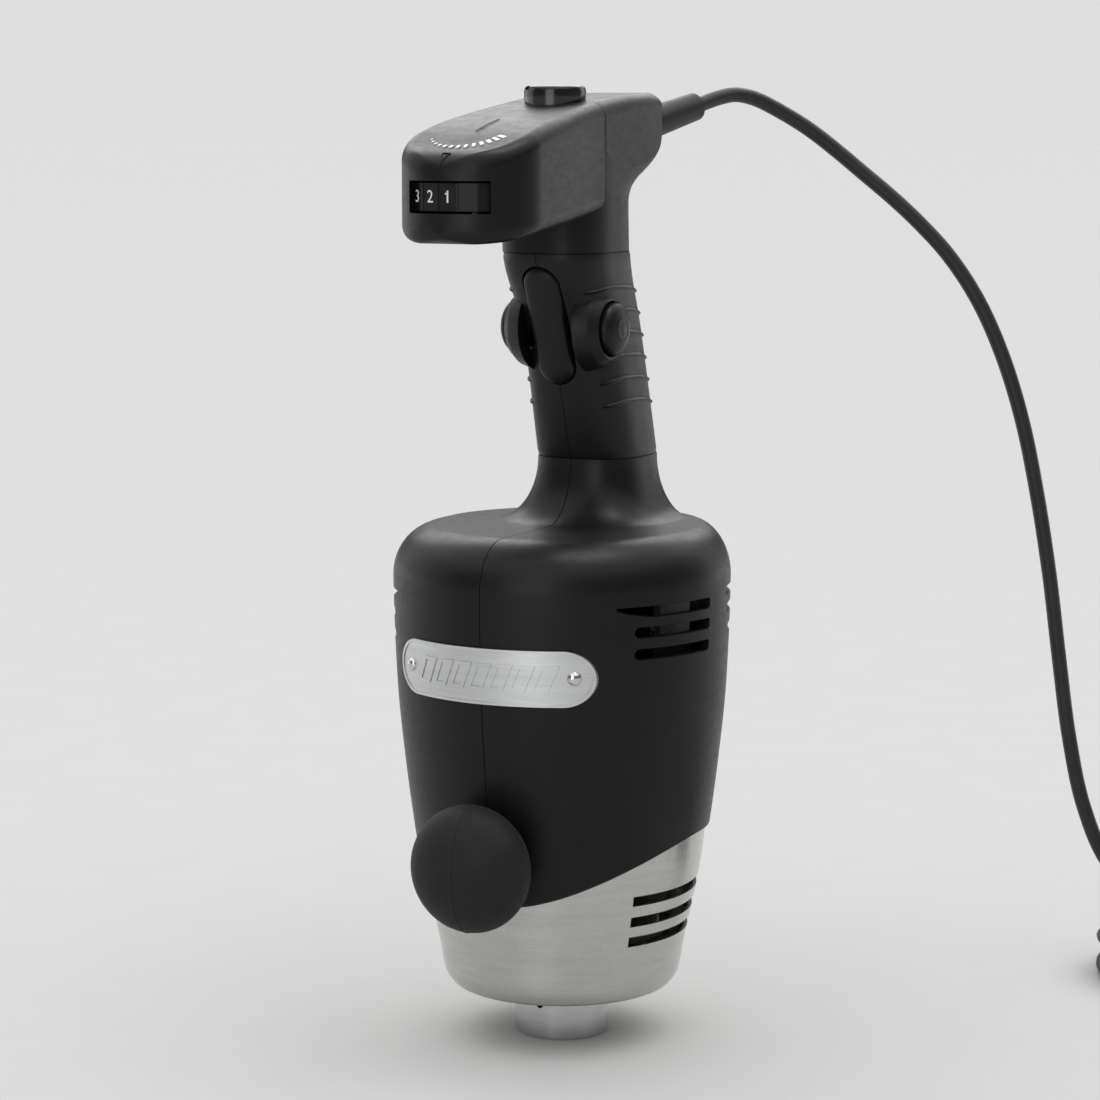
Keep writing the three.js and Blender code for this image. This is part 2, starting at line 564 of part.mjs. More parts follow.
function speedWheel() {
  const { radius, low, high, facets, bore } = WHEEL;
  const outline = [[bore, low], [radius, low], [radius, high], [bore, high], [bore, low]];
  const rim = turned(outline, facets, rad(180 / facets));
  return rim.rotate([0, 0, WHEEL.turn]).translate([0, HEAD.wheelY, 0]);
}

function controlBoard() {
  const board = box(-15, 15, -84, -24, 348.5, 350.1);
  const sink = box(-9, 9, -52, -46, 350, 361);
  const filter = disc(6, 350, 360, 16).translate([0, -34, 0]);
  return cut(join(board, sink, filter), disc(3.6, 340, 352, SMALL_SIDES).translate([0, HEAD.wheelY, 0]));
}

function headPieces() {
  const { y, bezel, bore, cap, top, low } = TOP_BUTTON;
  const atWheel = [0, HEAD.wheelY, 0];
  const atButton = [0, y, 0];
  const hug = headForm(0).translate([0, 0, GAP]);
  const inner = cap - 1.3;
  const capForm = turned([[inner, low], [cap, low], [cap, 378.2], [cap * 0.8, 380], [cap * 0.4, 380.7],
    [0, 380.8], [0, 379.2], [inner, 379.2], [inner, low]], 24);
  const dial = ring(WHEEL.bore, 8, 350.4, 356.8, SMALL_SIDES);
  const redButton = join(disc(7.4, 376, 378.8, SMALL_SIDES), disc(4, 362, 376.5, SMALL_SIDES));
  const switchBody = cut(box(-8, 8, -8, 8, 352, 371.9), disc(4.4, 355, 380, SMALL_SIDES));
  return [
    ...headShells(),
    piece('speed_wheel', speedWheel(), FINISH.satinBlack),
    piece('wheel_spindle', disc(WHEEL.spindle, 329, 356.6, SMALL_SIDES).translate(atWheel), FINISH.steel),
    piece('potentiometer', dial.translate(atWheel), FINISH.darkPlastic),
    piece('control_board', controlBoard(), FINISH.board),
    piece('button_bezel', cut(ring(bore, bezel, 372, top, 32).translate(atButton), hug), FINISH.glossBlack),
    piece('button_cap', capForm.translate(atButton), FINISH.amber),
    piece('top_button', redButton.translate(atButton), FINISH.signalRed),
    piece('top_button_spring', spring(5.6, 373.2, 375.3, 2).translate(atButton), FINISH.steel),
    piece('top_switch', switchBody.translate(atButton), FINISH.darkPlastic),
    piece('strain_relief', rod(reliefPoint(-7), reliefPoint(45.5), 7.2, 5.8), FINISH.cordRubber),
  ];
}

// ---------------------------------------------------------------- mains lead
// The lead rises out of its strain relief, arches over to the right, hangs down and lands on its coil.
const ROUTE = [
  [13.9, 92.6, 373.3], [15.5, 97.6, 374.7], [18.2, 106, 376.8], [21.6, 114.5, 378], [26.4, 123.6, 376.4],
  [33.4, 133.8, 371.2], [42.5, 143.8, 363.6], [52.2, 151.6, 354.4], [62.4, 158, 344.5],
  [72.5, 163.3, 335], [83, 168.6, 324.2], [95, 175, 309.5], [106.5, 181.1, 290], [116.2, 186.2, 266],
  [124.1, 190.4, 238], [130.3, 193.7, 206], [135.6, 196.5, 171], [140, 198.9, 134], [144.4, 201.2, 100],
  [150.6, 204.5, 69], [160.3, 209.7, 44], [174.4, 217.2, 29],
];
// From the outer turn the lead runs towards the front, up into the back of the plug.
const TAIL = [
  [258.3, 198.8, 4.4], [262, 191.9, 5.2], [266.5, 183.4, 9.2], [270, 176.8, 11], [272.4, 172.3, 11.2],
];
const TAIL_HEADING = -62;        // direction of the tail and the plug, from +X

function leadCurve(points) {
  const stations = points.map((point) => new THREE.Vector3(...point));
  return new THREE.CatmullRomCurve3(stations, false, 'centripetal');
}

function coilRing() {
  const reach = COIL.turns * CORD.diameter / 2;
  const [inner, outer] = [COIL.middle - reach, COIL.middle + reach];
  const [low, high] = [CORD.lift, CORD.lift + COIL.layers * CORD.diameter];
  const round = 2;
  const profile = [[inner + round, low], [outer - round, low], [outer, low + round], [outer, high - round],
    [outer - round, high], [inner + round, high], [inner, high - round], [inner, low + round],
    [inner + round, low]];
  return turned(profile, 28).translate([COIL.x, COIL.y, 0]);
}

/** A strap round the coil's section, at the side nearest the front. */
function cordTie() {
  const top = CORD.lift + COIL.layers * CORD.diameter + 1.3;
  const strap = { inner: 25.2, outer: 48.5, thick: 1, width: 12, top };
  const reach = strap.width / 2;
  const band = cut(box(strap.inner, strap.outer, -reach, reach, 0, strap.top),
    box(strap.inner + strap.thick, strap.outer - strap.thick, -reach - 1, reach + 1, 1, strap.top - 1));
  return band.rotate([0, 0, TAIL_HEADING]).translate([COIL.x, COIL.y, 0]);
}

/** The plug points along +X here, with its back at the end of the lead, and is turned into place. */
function plugPieces() {
  const back = TAIL.at(-1);
  const place = (shape) => shape.rotate([0, 0, TAIL_HEADING]).translate([back[0], back[1], 0]);
  const z = 11.2;
  const outline = roundedRect(22, 24, 6);
  const block = prism(outline, 12, 42, 3).rotate([0, 90, 0]).translate([0, 0, z]);
  const neck = rod([1, 0, z], [13, 0, z], 4.8, 7, 12);
  const blade = (y) => box(42 + GAP, 59, y - 0.8, y + 0.8, z - 5.2, z + 1.2);
  return [
    piece('plug_body', place(join(block, neck)), FINISH.cordRubber),
    piece('plug_blade_left', place(blade(-6.3)), FINISH.brass),
    piece('plug_blade_right', place(blade(6.3)), FINISH.brass),
    piece('plug_earth_pin', place(rod([42 + GAP, 0, z + 6], [62, 0, z + 6], 2.4, 2, 12)), FINISH.brass),
  ];
}

function leadPieces() {
  return [
    piece('cord_run', tube(leadCurve(ROUTE), CORD.diameter / 2, 44), FINISH.cordRubber),
    piece('cord_coil', coilRing(), FINISH.cordRubber),
    piece('cord_tail', tube(leadCurve(TAIL), CORD.diameter / 2, 6), FINISH.cordRubber),
    piece('cord_tie', cordTie(), FINISH.darkPlastic),
    ...plugPieces(),
  ];
}

// ---------------------------------------------------------------- the whole unit
function bodyPieces() {
  return [
    ...housingHalves(),
    piece('nameplate', namePlate(), FINISH.brushedPlate),
    piece('rivet_left', rivet(-1), FINISH.turnedAluminium),
    piece('rivet_right', rivet(1), FINISH.turnedAluminium),
    piece('front_knob', frontKnob(), FINISH.knobRubber),
    piece('knob_stem', knobStem(), FINISH.satinBlack),
    piece('lower_skirt', lowerSkirt(), FINISH.brushedSteel),
    piece('coupling_collar', couplingCollar(), FINISH.turnedAluminium),
    piece('locating_lug', locatingLug(), FINISH.turnedAluminium),
  ];
}

const unit = new THREE.Group();
unit.add(...bodyPieces(), ...motorPieces(), ...gripPieces(), ...headPieces(), ...leadPieces());
unit.position.y = AXIS_Y;

export default unit;
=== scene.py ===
"""Looks for a hand-held power blender drive unit.

A leaning pistol grip stands on a round motor housing with a steel skirt, and carries a head with a
speed wheel. Sizes are millimetres from the drive axis, and become metres when a piece is settled.
"""
from __future__ import annotations

import logging
import math
from collections.abc import Callable, Iterable, Sequence
from dataclasses import dataclass, field
from enum import Enum

import bmesh
import bpy
import numpy as np
from mathutils import Matrix, Vector

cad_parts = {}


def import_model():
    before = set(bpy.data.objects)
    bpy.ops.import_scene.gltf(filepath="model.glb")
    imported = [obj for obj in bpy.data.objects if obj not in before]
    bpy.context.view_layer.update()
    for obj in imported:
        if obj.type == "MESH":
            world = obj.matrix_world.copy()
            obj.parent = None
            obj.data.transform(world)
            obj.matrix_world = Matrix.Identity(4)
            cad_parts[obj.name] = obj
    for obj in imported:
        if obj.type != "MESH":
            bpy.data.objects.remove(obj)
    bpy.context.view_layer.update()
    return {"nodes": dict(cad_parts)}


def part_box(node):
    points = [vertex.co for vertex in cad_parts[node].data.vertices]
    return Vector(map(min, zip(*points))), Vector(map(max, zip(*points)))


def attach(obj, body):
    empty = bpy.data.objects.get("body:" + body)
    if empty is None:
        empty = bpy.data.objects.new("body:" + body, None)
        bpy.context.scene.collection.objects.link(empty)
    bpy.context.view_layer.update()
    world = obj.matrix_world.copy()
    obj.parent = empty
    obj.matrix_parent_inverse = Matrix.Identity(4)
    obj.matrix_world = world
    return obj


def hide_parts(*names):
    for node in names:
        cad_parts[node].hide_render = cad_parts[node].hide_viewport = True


LOG = logging.getLogger("drive_unit")
MM = 0.001
SEAM = 0.12            # half of the gap that two mouldings leave at a seam
ROUND = 128            # facets round the housing and the grip
BUTTON_Y = -6.0        # the top button's middle
BUTTON_HOLE = 10.0     # radius of its hole in the head
Point = tuple[float, float, float]
Ring = list[Point]
Colour = tuple[float, float, float]


# ------------------------------------------------------------------------------ shader maths
class Sock:
    """A node's output that takes arithmetic. Each operator adds a Math node."""

    def __init__(self, shader: Shader, socket: bpy.types.NodeSocket) -> None:
        """Keeps the shader that the socket belongs to."""
        self.shader = shader
        self.socket = socket

    def math(self, operation: str, *terms: Sock | float) -> Sock:
        """Adds a Math node.

        Args:
            operation: the node's operation.
            terms: what goes into it, in order.

        Returns:
            Its value.
        """
        return self.shader.node("ShaderNodeMath", {"operation": operation}, dict(enumerate(terms)))

    def apply(self, operation: str, *others: Sock | float) -> Sock:
        """Adds a Math node that starts with this."""
        return self.math(operation, self, *others)

    def __add__(self, other: Sock | float) -> Sock:
        """This plus other."""
        return self.math("ADD", self, other)

    def __sub__(self, other: Sock | float) -> Sock:
        """This less other."""
        return self.math("SUBTRACT", self, other)

    def __rsub__(self, other: Sock | float) -> Sock:
        """Other less this."""
        return self.math("SUBTRACT", other, self)

    def __mul__(self, other: Sock | float) -> Sock:
        """This times other."""
        return self.math("MULTIPLY", self, other)

    def __truediv__(self, other: Sock | float) -> Sock:
        """This over other."""
        return self.math("DIVIDE", self, other)

    def __rtruediv__(self, other: Sock | float) -> Sock:
        """Other over this."""
        return self.math("DIVIDE", other, self)

    def __pow__(self, other: float) -> Sock:
        """This to a power."""
        return self.math("POWER", self, other)

    def __gt__(self, other: Sock | float) -> Sock:
        """One where this is above other."""
        return self.math("GREATER_THAN", self, other)

    def __abs__(self) -> Sock:
        """This without its sign."""
        return self.math("ABSOLUTE", self)

    __radd__ = __add__
    __rmul__ = __mul__


class Shader:
    """A material whose nodes are made by calls."""

    def __init__(self, name: str) -> None:
        """Starts a material with one principled surface."""
        self.material = bpy.data.materials.new(name)
        self.material.use_nodes = True
        self.tree = self.material.node_tree
        self.tree.nodes.clear()
        self.surface = self.tree.nodes.new("ShaderNodeBsdfPrincipled")
        output = self.tree.nodes.new("ShaderNodeOutputMaterial")
        self.tree.links.new(self.surface.outputs[0], output.inputs[0])
        self._place: Sock | None = None

    def fill(self, node: bpy.types.Node, inputs: dict) -> None:
        """Sets or links a node's inputs.

        Args:
            node: the node.
            inputs: values or sockets by the input's name or number.
        """
        for key, value in inputs.items():
            if isinstance(value, Sock):
                self.tree.links.new(value.socket, node.inputs[key])
            elif node.inputs[key].type == "RGBA" and len(value) == 3:
                node.inputs[key].default_value = (*value, 1.0)
            else:
                node.inputs[key].default_value = value

    def node(self, kind: str, settings: dict | None = None, inputs: dict | None = None,
             output: int | str = 0) -> Sock:
        """Adds a node.

        Args:
            kind: the node's type.
            settings: its own properties, and for a ramp its stops.
            inputs: values or sockets by name or number.
            output: which output is wanted.

        Returns:
            That output.
        """
        made = self.tree.nodes.new(kind)
        for key, value in (settings or {}).items():
            if key == "stops":
                self._stops(made.color_ramp, value)
            else:
                setattr(made, key, value)
        self.fill(made, inputs or {})
        return Sock(self, made.outputs[output])

    @staticmethod
    def _stops(ramp: bpy.types.ColorRamp, stops: Sequence[tuple[float, Colour]]) -> None:
        """Gives a ramp its stops.

        Args:
            ramp: a ramp with two stops.
            stops: places and colours.
        """
        while len(ramp.elements) < len(stops):
            ramp.elements.new(0.5)
        for element, (at, colour) in zip(ramp.elements, stops):
            element.position = at
            element.color = (*colour, 1.0)

    def place(self) -> Sock:
        """Millimetres from the drive axis."""
        if self._place is None:
            where = self.node("ShaderNodeTexCoord", output="Object")
            self._place = self.node("ShaderNodeMapping", {}, {
                "Vector": where, "Location": (0.0, -Form.axis_y, 0.0), "Scale": (1 / MM,) * 3})
        return self._place

    def stretched(self, scale: Point, where: Sock | None = None) -> Sock:
        """A place multiplied along each axis.

        Args:
            scale: a factor for each axis.
            where: the place, or the place from the drive axis.

        Returns:
            The stretched place.
        """
        return self.node("ShaderNodeVectorMath", {"operation": "MULTIPLY"},
                         {0: where or self.place(), 1: scale})

    def parts(self, where: Sock | None = None) -> tuple[Sock, Sock, Sock]:
        """The three numbers of a place."""
        split = self.node("ShaderNodeSeparateXYZ", {}, {0: where or self.place()})
        outputs = split.socket.node.outputs
        return Sock(self, outputs[0]), Sock(self, outputs[1]), Sock(self, outputs[2])

    def joined(self, x: Sock | float, y: Sock | float, z: Sock | float) -> Sock:
        """A place made of three numbers."""
        return self.node("ShaderNodeCombineXYZ", {}, {0: x, 1: y, 2: z})

    def noise(self, where: Sock, scale: float, detail: float = 2.0, rough: float = 0.5) -> Sock:
        """A noise value.

        Args:
            where: the place it is read at.
            scale: how fine it is.
            detail: how many octaves it has.
            rough: how strong the fine ones are.

        Returns:
            A value about a half.
        """
        return self.node("ShaderNodeTexNoise", {"noise_dimensions": "3D"}, {
            "Vector": where, "Scale": scale, "Detail": detail, "Roughness": rough})

    def spread(self, value: Sock, low: float, high: float, start: float = 0.3, end: float = 0.7) -> Sock:
        """Carries a value from one range to another.

        Args:
            value: what is carried.
            low: the result at start.
            high: the result at end.
            start: where the range starts.
            end: where it ends.

        Returns:
            The carried value, held inside the new range.
        """
        return self.node("ShaderNodeMapRange", {"clamp": True}, {
            "Value": value, "From Min": start, "From Max": end, "To Min": low, "To Max": high})

    def mix(self, share: Sock | float, first: Sock | Colour, second: Sock | Colour) -> Sock:
        """Blends two colours.

        Args:
            share: how much of the second there is.
            first: a colour.
            second: another.

        Returns:
            The blend.
        """
        made = self.node("ShaderNodeMix", {"data_type": "RGBA"}, {0: share, 6: first, 7: second}, 2)
        return made

    def bump(self, height: Sock, depth: float, strength: float = 1.0) -> None:
        """Adds relief to the surface.

        Args:
            height: the relief, from nought to one.
            depth: what one stands for, in millimetres.
            strength: how much of it shows.
        """
        relief = self.node("ShaderNodeBump", {}, {
            "Strength": strength, "Distance": depth * MM, "Height": height})
        self.fill(self.surface, {"Normal": relief})

    def set(self, **inputs: Sock | float | Colour) -> None:
        """Sets the surface's own inputs, named with underscores for spaces."""
        self.fill(self.surface, {key.replace("_", " "): value for key, value in inputs.items()})


# ------------------------------------------------------------------------------ finishes
@dataclass(frozen=True)
class Finish:
    """What every finish has."""

    name: str

    def paint(self, shader: Shader) -> None:
        """Adds the finish's nodes."""
        raise NotImplementedError

    def material(self) -> bpy.types.Material:
        """The finish's material, made once."""
        found = bpy.data.materials.get(self.name)
        if found:
            return found
        shader = Shader(self.name)
        self.paint(shader)
        return shader.material


@dataclass(frozen=True)
class Moulded(Finish):
    """Moulded plastic or rubber with a fine spark-eroded grain."""

    dark: Colour
    light: Colour
    rough: tuple[float, float]
    grain: float = 0.4
    depth: float = 0.05
    strength: float = 0.5
    coat: float = 0.0
    specular: float = 0.5

    def paint(self, shader: Shader) -> None:
        """Mottles the colour and the gloss, and adds the grain."""
        where = shader.place()
        broad = shader.noise(where, 0.06, 3.0, 0.6)
        fine = shader.noise(where, 1 / self.grain, 2.0, 0.6)
        scuffs = shader.noise(shader.stretched((0.5, 0.5, 1.4)), 0.35, 4.0, 0.7)
        shader.set(
            Base_Color=shader.mix(shader.spread(broad * 0.6 + fine * 0.4, 0.0, 1.0), self.dark, self.light),
            Roughness=shader.spread(scuffs * 0.7 + fine * 0.3, *self.rough, 0.36, 0.62),
            Coat_Weight=self.coat, Coat_Roughness=0.08,
            Specular_IOR_Level=self.specular)
        shader.bump(fine, self.depth, self.strength)


@dataclass(frozen=True)
class Speckled(Finish):
    """Soft rubber with a matt skin and pale specks of bloom."""

    def paint(self, shader: Shader) -> None:
        """Adds specks over a mottled black."""
        where = shader.place()
        specks = shader.node("ShaderNodeTexVoronoi", {"feature": "F1"}, {"Vector": where, "Scale": 1.1})
        fine = shader.noise(where, 2.6, 3.0, 0.7)
        broad = shader.noise(where, 0.09, 3.0, 0.6)
        x, _, _ = shader.parts()
        line = shader.spread(abs(x), 1.0, 0.0, 0.12, 0.3)
        base = shader.mix(shader.spread(broad, 0.0, 1.0), (0.006, 0.006, 0.0064), (0.010, 0.010, 0.0106))
        shader.set(
            Base_Color=shader.mix(shader.spread(specks, 0.35, 0.0, 0.05, 0.2), base, (0.06, 0.06, 0.062)),
            Roughness=shader.spread(fine, 0.55, 0.72), Sheen_Weight=0.04, Sheen_Roughness=0.45,
            Specular_IOR_Level=0.25)
        shader.bump(fine * 0.5 - line * 1.2 + shader.spread(specks, 0.4, 0.0, 0.0, 0.3), 0.12, 0.6)


class Grain(Enum):
    """Which way a metal's brush marks run."""

    AROUND = "around the drive axis"
    FACE = "in rings on the end"


@dataclass(frozen=True)
class Brushed(Finish):
    """Metal with brush marks that run one way."""

    dark: Colour
    light: Colour
    rough: tuple[float, float]
    grain: Grain = Grain.AROUND
    fine: float = 4.0
    depth: float = 0.02
    strength: float = 0.35
    metallic: float = 1.0
    stretch: float = 0.0                       # how far the marks draw reflections out across them

    def paint(self, shader: Shader) -> None:
        """Stretches the noise along the brush marks."""
        x, y, z = shader.parts()
        angle = shader.node("ShaderNodeMath", {"operation": "ARCTAN2"}, {0: x, 1: 0.0 - y})
        radius = (x * x + y * y) ** 0.5
        across = {
            Grain.AROUND: (angle * 5.0, radius * 0.4, z * self.fine),
            Grain.FACE: (angle * 1.2, radius * self.fine, z * self.fine),
        }[self.grain]
        marks = shader.noise(shader.joined(*across), 1.0, 3.0, 0.6)
        slow = {
            Grain.AROUND: (angle * 2.0, radius * 0.1, z * 0.35),
            Grain.FACE: (angle * 0.8, radius * 0.3, z * 0.3),
        }[self.grain]
        bands = shader.noise(shader.joined(*slow), 1.0, 3.0, 0.6)
        smears = shader.noise(shader.place(), 0.05, 4.0, 0.65)
        shader.set(
            Base_Color=shader.mix(shader.spread(marks * 0.5 + bands * 0.5, 0.0, 1.0), self.dark, self.light),
            Roughness=shader.spread(marks * 0.4 + smears * 0.6, *self.rough, 0.35, 0.65),
            Metallic=self.metallic,
            Anisotropic=self.stretch, Anisotropic_Rotation=0.25)
        shader.bump(marks, self.depth, self.strength)


@dataclass(frozen=True)
class Laminated(Finish):
    """A stack of thin varnished steel sheets."""

    pitch: float = 0.9

    def paint(self, shader: Shader) -> None:
        """Draws the sheets' edges up the stack."""
        _, _, z = shader.parts()
        gap = shader.spread(abs((z / self.pitch).apply("FRACT") - 0.5), 0.0, 1.0, 0.34, 0.46)
        varnish = shader.noise(shader.place(), 0.25, 4.0, 0.6)
        shader.set(
            Base_Color=shader.mix(gap, (0.20, 0.20, 0.21), (0.07, 0.06, 0.055)),
            Roughness=shader.spread(varnish, 0.35, 0.6), Metallic=0.85)
        shader.bump(1.0 - gap, 0.08, 0.8)


@dataclass(frozen=True)
class Wound(Finish):
    """Varnished copper wire, or bare copper bars, laid side by side."""

    pitch: float = 1.0
    upright: bool = False

    def paint(self, shader: Shader) -> None:
        """Draws the wires side by side."""
        x, y, z = shader.parts()
        angle = shader.node("ShaderNodeMath", {"operation": "ARCTAN2"}, {0: x, 1: 0.0 - y})
        along = angle * 14.0 if self.upright else z
        wave = (along * (2 * math.pi / self.pitch)).apply("SINE")
        tint = shader.noise(shader.place(), 0.2, 3.0, 0.6)
        shader.set(
            Base_Color=shader.mix(shader.spread(tint, 0.0, 1.0), (0.42, 0.16, 0.06), (0.62, 0.29, 0.13)),
            Roughness=shader.spread(tint, 0.25, 0.42), Metallic=0.9, Coat_Weight=0.3)
        shader.bump(wave * 0.5 + 0.5, 0.2, 0.8)


@dataclass(frozen=True)
class Lens(Finish):
    """A clear amber cap over a darker switch, with a moulded grain inside."""

    def paint(self, shader: Shader) -> None:
        """Deepens the amber towards the rim."""
        where = shader.place()
        x, y, _ = shader.parts()
        from_centre = y - BUTTON_Y
        out = (x * x + from_centre * from_centre) ** 0.5
        cloud = shader.noise(where, 0.5, 3.0, 0.6)
        tone = shader.spread(out + cloud * 3.0, 0.0, 1.0, 3.0, 10.0)
        shader.set(
            Base_Color=shader.mix(tone, (0.20, 0.062, 0.022), (0.055, 0.018, 0.010)),
            Roughness=shader.spread(cloud, 0.12, 0.24), Coat_Weight=1.0, Coat_Roughness=0.05)
        shader.bump(cloud, 0.05, 0.3)


@dataclass(frozen=True)
class Board(Finish):
    """A varnished circuit board with tinned tracks."""

    def paint(self, shader: Shader) -> None:
        """Lays tracks over the green varnish."""
        bricks = shader.node("ShaderNodeTexBrick", {"offset": 0.5}, {
            "Vector": shader.place(), "Scale": 0.22, "Mortar Size": 0.06, "Color1": (0.0, 0.0, 0.0),
            "Color2": (0.15, 0.15, 0.15), "Mortar": (1.0, 1.0, 1.0)})
        cloud = shader.noise(shader.place(), 0.3, 3.0, 0.5)
        shader.set(
            Base_Color=shader.mix(bricks, (0.012, 0.075, 0.030), (0.05, 0.20, 0.08)),
            Roughness=shader.spread(cloud, 0.3, 0.5), Coat_Weight=0.4)
        shader.bump(bricks, 0.06, 0.5)


BLACK = Moulded("satin black moulding", (0.0045, 0.0045, 0.0049), (0.0068, 0.0068, 0.0073), (0.34, 0.44),
                grain=0.38, depth=0.05, strength=0.3, specular=0.2)
GRIP = Moulded("grip black moulding", (0.0048, 0.0048, 0.0052), (0.0072, 0.0072, 0.0077), (0.34, 0.44),
               grain=0.34, depth=0.06, strength=0.35, specular=0.22)
BUTTON = Moulded("soft black button", (0.0042, 0.0042, 0.0045), (0.0062, 0.0062, 0.0066), (0.34, 0.44),
                 grain=0.3, depth=0.04, strength=0.25, specular=0.22)
KNOB = Speckled("matt knob rubber")
GLOSS = Moulded("polished black ring", (0.0050, 0.0050, 0.0055), (0.0080, 0.0080, 0.0085), (0.14, 0.22),
                grain=0.8, depth=0.02, strength=0.15, coat=0.25, specular=0.4)
LEAD = Moulded("lead rubber", (0.010, 0.010, 0.0106), (0.015, 0.015, 0.016), (0.42, 0.54),
               grain=0.5, depth=0.05, strength=0.4, specular=0.4)
PRINT = Moulded("white print", (0.60, 0.60, 0.59), (0.78, 0.78, 0.77), (0.45, 0.6), grain=0.3, depth=0.02)
RED = Moulded("signal red moulding", (0.33, 0.020, 0.012), (0.42, 0.035, 0.020), (0.28, 0.4), coat=0.3)
DARK = Moulded("dark switch moulding", (0.022, 0.022, 0.024), (0.036, 0.036, 0.038), (0.42, 0.55))
NYLON = Moulded("smoke nylon", (0.060, 0.058, 0.052), (0.085, 0.082, 0.074), (0.4, 0.55), depth=0.04)
CARBON = Moulded("pressed carbon", (0.014, 0.014, 0.015), (0.045, 0.045, 0.048), (0.6, 0.8), grain=0.6,
                 depth=0.1)
AMBER = Lens("amber cap")
SKIRT = Brushed("brushed steel skirt", (0.46, 0.455, 0.44), (0.56, 0.555, 0.54), (0.24, 0.30), Grain.AROUND,
                fine=9.0, depth=0.008, strength=0.12, stretch=0.8)
TURNED = Brushed("turned steel", (0.50, 0.50, 0.505), (0.66, 0.66, 0.665), (0.14, 0.20), Grain.AROUND,
                 fine=5.0, depth=0.01, strength=0.2, stretch=0.7)
PLATE = Brushed("brushed plate", (0.50, 0.505, 0.51), (0.66, 0.665, 0.67), (0.30, 0.42), Grain.AROUND,
                fine=3.0, depth=0.02, strength=0.35)
# its colours sit far below bare aluminium: painted shade, so the frame and brackets read dark behind the
# vents
CAST = Brushed("cast aluminium", (0.09, 0.09, 0.093), (0.15, 0.15, 0.153), (0.5, 0.65), Grain.FACE,
               fine=0.8, depth=0.08, strength=0.4)
STEEL = Brushed("ground steel", (0.36, 0.365, 0.375), (0.52, 0.525, 0.535), (0.22, 0.34), Grain.AROUND)
BRASS = Brushed("plated brass", (0.52, 0.38, 0.16), (0.68, 0.52, 0.25), (0.22, 0.34), Grain.FACE, fine=2.0)
SHEETS = Laminated("varnished laminations")
COPPER = Wound("varnished windings")
BARS = Wound("commutator bars", pitch=3.66, upright=True)
GREEN = Board("circuit board")


# ------------------------------------------------------------------------------ shapes
class Track:
    """A measure that changes smoothly from station to station, and never overshoots them."""

    def __init__(self, *stations: tuple[float, float]) -> None:
        """Works out the slope at each station."""
        self.at, self.value = np.array(stations, float).T
        step = np.diff(self.value) / np.diff(self.at)
        slope = np.zeros(len(self.at))
        slope[0], slope[-1] = step[0], step[-1]
        for i in range(1, len(step)):
            if step[i - 1] * step[i] > 0:
                slope[i] = 2 * step[i - 1] * step[i] / (step[i - 1] + step[i])
        self.slope = slope

    def __call__(self, at: float) -> float:
        """The measure at a place, held at its ends."""
        at = min(max(at, self.at[0]), self.at[-1])
        i = min(int(np.searchsorted(self.at, at, "right")) - 1, len(self.at) - 2)
        width = self.at[i + 1] - self.at[i]
        t = (at - self.at[i]) / width
        return float(
            (1 + 2 * t) * (1 - t) ** 2 * self.value[i] + t * (1 - t) ** 2 * width * self.slope[i]
            + t * t * (3 - 2 * t) * self.value[i + 1] + t * t * (t - 1) * width * self.slope[i + 1])


def smooth(value: float, low: float = 0.0, high: float = 1.0) -> float:
    """An easy step from nought at low to one at high."""
    t = min(max((value - low) / (high - low), 0.0), 1.0)
    return t * t * (3 - 2 * t)


def steps(low: float, high: float, count: int) -> list[float]:
    """Numbers evenly spaced from low to high."""
    return [low + (high - low) * i / (count - 1) for i in range(count)]


def lerp(first: Sequence[float], second: Sequence[float], share: float) -> Point:
    """The point that share of the way from first to second."""
    return tuple(a + (b - a) * share for a, b in zip(first, second))


def polar(radius: float, angle: float, z: float) -> Point:
    """A point at an angle in degrees from the front."""
    turn = math.radians(angle)
    return radius * math.sin(turn), -radius * math.cos(turn), z


def stadium(width: float, length: float, count: int = 48) -> list[tuple[float, float]]:
    """An outline with straight sides and round ends.

    Args:
        width: across it.
        length: from end to end.
        count: how many points it has.

    Returns:
        Its points, about its centre.
    """
    reach = (length - width) / 2
    points = []
    for i in range(count):
        turn = 2 * math.pi * (i + 0.5) / count
        points.append((width / 2 * math.cos(turn),
                       width / 2 * math.sin(turn) + math.copysign(reach, math.sin(turn))))
    return points


def rounded(width: float, height: float, corner: float, each: int = 8) -> list[tuple[float, float]]:
    """A rectangle with round corners.

    Args:
        width: across it.
        height: up it.
        corner: the corners' radius.
        each: how many points each corner has.

    Returns:
        Its points, about its centre.
    """
    corner = min(corner, width * 0.499, height * 0.499)
    points = []
    for quarter, (sx, sy) in enumerate(((1, 1), (-1, 1), (-1, -1), (1, -1))):
        for i in range(each):
            turn = math.radians(90 * (quarter + i / (each - 1)))
            points.append((sx * (width / 2 - corner) + corner * math.cos(turn),
                           sy * (height / 2 - corner) + corner * math.sin(turn)))
    return points


